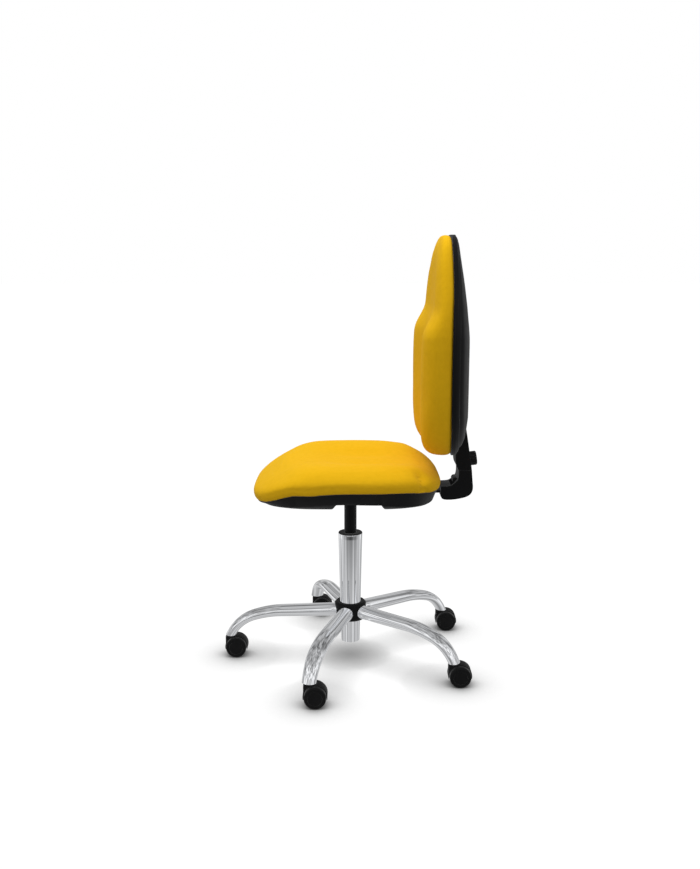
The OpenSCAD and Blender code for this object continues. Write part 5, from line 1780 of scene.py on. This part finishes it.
@dataclass
class Studio:
    """Pale floor, soft light and the camera at the photograph's angle."""

    camera_at: tuple[float, float, float] = (2.308, -0.001, 0.986)
    camera_fall: float = 10.49
    lens: float = 40.503
    floor_half: float = 30.0
    floor_bounce: float = 0.42
    floor_white: float = 0.09
    floor_glow: float = 0.97
    contact_reach: float = 0.12
    # Radius and depth of the painted shadow under the column's foot.
    column_shadow_r: float = 0.11
    column_shadow_share: float = 0.5
    streak_scale: float = 3.0
    streak_range: tuple[float, float] = (0.30, 1.65)
    near_grey: float = 0.64
    near_r: float = 0.35
    far_r: float = 1.3
    floor_greys: Outline = (
        (0.0, 0.50), (0.136, 0.85), (0.194, 1.10), (0.242, 1.0), (0.317, 0.55), (0.381, 0.32), (0.442, 0.14),
        (0.5, 0.08), (0.558, 0.14), (0.619, 0.25), (0.683, 0.40), (0.758, 0.75), (0.806, 0.95), (0.864, 0.60),
        (1.0, 0.50))
    near_sky: Outline = (
        (0.0, 0.42), (0.12, 0.45), (0.22, 0.85), (0.45, 1.0), (0.65, 0.95), (0.78, 0.75), (0.87, 0.5), (1.0, 0.47))
    far_sky: Outline = ((0.0, 0.55), (0.5, 0.45), (0.75, 0.35), (0.92, 0.45), (1.0, 0.47))
    sky: float = 0.55
    key_power: float = 42.0
    key_at: tuple[float, float, float] = (-0.3, -0.3, 3.0)
    key_size: float = 2.2

    def build(self) -> None:
        """Builds the camera, the floor, the lamps and the world."""
        self.camera()
        self.floor()
        self.lamps()
        self.world()

    def camera(self) -> None:
        """Makes the camera."""
        data = bpy.data.cameras.new("Camera")
        data.lens = self.lens
        data.sensor_width = 36.0
        data.sensor_fit = "AUTO"
        data.clip_start = 0.05
        data.clip_end = 200.0
        camera = bpy.data.objects.new("Camera", data)
        camera.location = self.camera_at
        camera.rotation_euler = (math.radians(90 - self.camera_fall), 0.0, math.radians(90))
        bpy.context.scene.collection.objects.link(camera)
        bpy.context.scene.camera = camera

    def floor(self) -> None:
        """Makes the floor: white with painted contact and column shadows to the camera, grey screens to the gloss,
        plain otherwise.
        """
        h = self.floor_half
        corners = [Vector((x, y, 0)) for x, y in ((-h, -h), (h, -h), (h, h), (-h, h))]
        floor = new_object("Floor", corners, [[0, 1, 2, 3]])
        made = bpy.data.materials.new("pale floor")
        board = NodeBoard.on(made)
        place = board.place()
        reach = board.add("VectorMath", {0: place}, operation="LENGTH").outputs["Value"]
        bounce = board.add("BsdfDiffuse", {"Color": grey(self.floor_bounce)})

        # Painted contact shadows: the camera's glow fades with ambient occlusion near the chair; only the faint
        # diffuse part keeps the real shadow.
        near = board.add("AmbientOcclusion", {"Distance": self.contact_reach}, samples=12).outputs["AO"]
        # Painted shadow: the glow fades towards the floor's middle, under the column's foot.
        painted_column_shadow = board.stretch(reach, 0.0, self.column_shadow_r, self.column_shadow_share, 1.0)
        glow_under_painted_shadows = board.calc("MULTIPLY", board.calc("POWER", near, 2.0), painted_column_shadow)
        seen = board.add("BsdfDiffuse", {"Color": grey(self.floor_white)})
        glow = board.add("Emission", {"Strength": board.calc("MULTIPLY", glow_under_painted_shadows, self.floor_glow)})
        both = board.add("AddShader", {0: seen.outputs[0], 1: glow.outputs[0]})

        axes = board.axes(place)
        turn = board.calc("ARCTAN2", axes["Y"], axes["X"])
        far_grey = board.ramp(board.stretch(turn, -math.pi, math.pi), self.floor_greys)
        far = board.stretch(reach, self.near_r, self.far_r)
        line = board.add("CombineXYZ", {"X": turn}).outputs[0]
        mirrored = board.add("Emission", {
            "Strength": self.streaks(board, line, self.streak_scale),
            "Color": board.mix(far, (self.near_grey,) * 3, far_grey)})
        board.add("OutputMaterial", {"Surface": board.by_ray(bounce, mirrored, both)})
        made.cycles.emission_sampling = "NONE"
        floor.data.materials.append(made)

    def streaks(self, board: NodeBoard, place: Socket, scale: float) -> Socket:
        """Makes the uneven brightness of what the gloss mirrors."""
        return board.stretch(board.noise(place, scale, 3.0, 0.6), 0.35, 0.65, *self.streak_range)

    def lamps(self) -> None:
        """Makes the soft overhead lamp."""
        data = bpy.data.lights.new("KeyLamp", "AREA")
        data.shape = "DISK"
        data.size = self.key_size
        data.energy = self.key_power
        lamp = bpy.data.objects.new("KeyLamp", data)
        lamp.location = self.key_at
        lamp.rotation_euler = (Vector((0, 0, 0.5)) - lamp.location).to_track_quat("-Z", "Y").to_euler()
        lamp.visible_glossy = False
        bpy.context.scene.collection.objects.link(lamp)

    def world(self) -> None:
        """Makes the world: white to the camera, a studio with soft grey screens to the gloss, and plain otherwise."""
        made = bpy.data.worlds.new("Studio")
        bpy.context.scene.world = made
        board = NodeBoard.on(made)
        place = board.add("TexCoord").outputs["Generated"]
        axes = board.axes(place)
        height = board.calc("MAXIMUM", axes["Z"], 0.0)
        side = board.stretch(axes["X"], -0.35, 0.35)
        plain = board.add("Background", {"Color": grey(1.0), "Strength": self.sky})
        gloss = board.add("Background", {
            "Color": board.mix(side, board.ramp(height, self.far_sky), board.ramp(height, self.near_sky)),
            "Strength": self.streaks(board, place, self.streak_scale * 2)})
        white = board.add("Background", {"Color": grey(1.0), "Strength": 1.0})
        board.add("OutputWorld", {"Surface": board.by_ray(plain, gloss, white)})


def main() -> None:
    """Builds every sub-assembly in order, then the studio."""
    logging.basicConfig(level=logging.INFO, format="%(name)s: %(message)s")
    bpy.context.scene.view_settings.view_transform = "Standard"
    pieces = [SeatCushion().build(), SeatPan().build(), BackCushion().build(), BackShell().build()]
    pieces += BackBracket().build() + CastorWheels().build()
    for piece in pieces:
        piece.visible_glossy = False
    pieces += StarBase().build()
    replaced = {"seat_cushion", "seat_pan", "back_cushion", "back_shell", "lower_cover", "back_sleeve"}
    for number in range(1, ARMS + 1):
        replaced |= {f"base_arm_{number}"} | {f"castor_{number}_wheel_{side.name.lower()}" for side in Side}
    FrameSolids().build(frame["record"], frame["nodes"], replaced)
    Studio().build()
    log.info("%d pieces built", len(pieces))


if __name__ == "__main__":
    main()
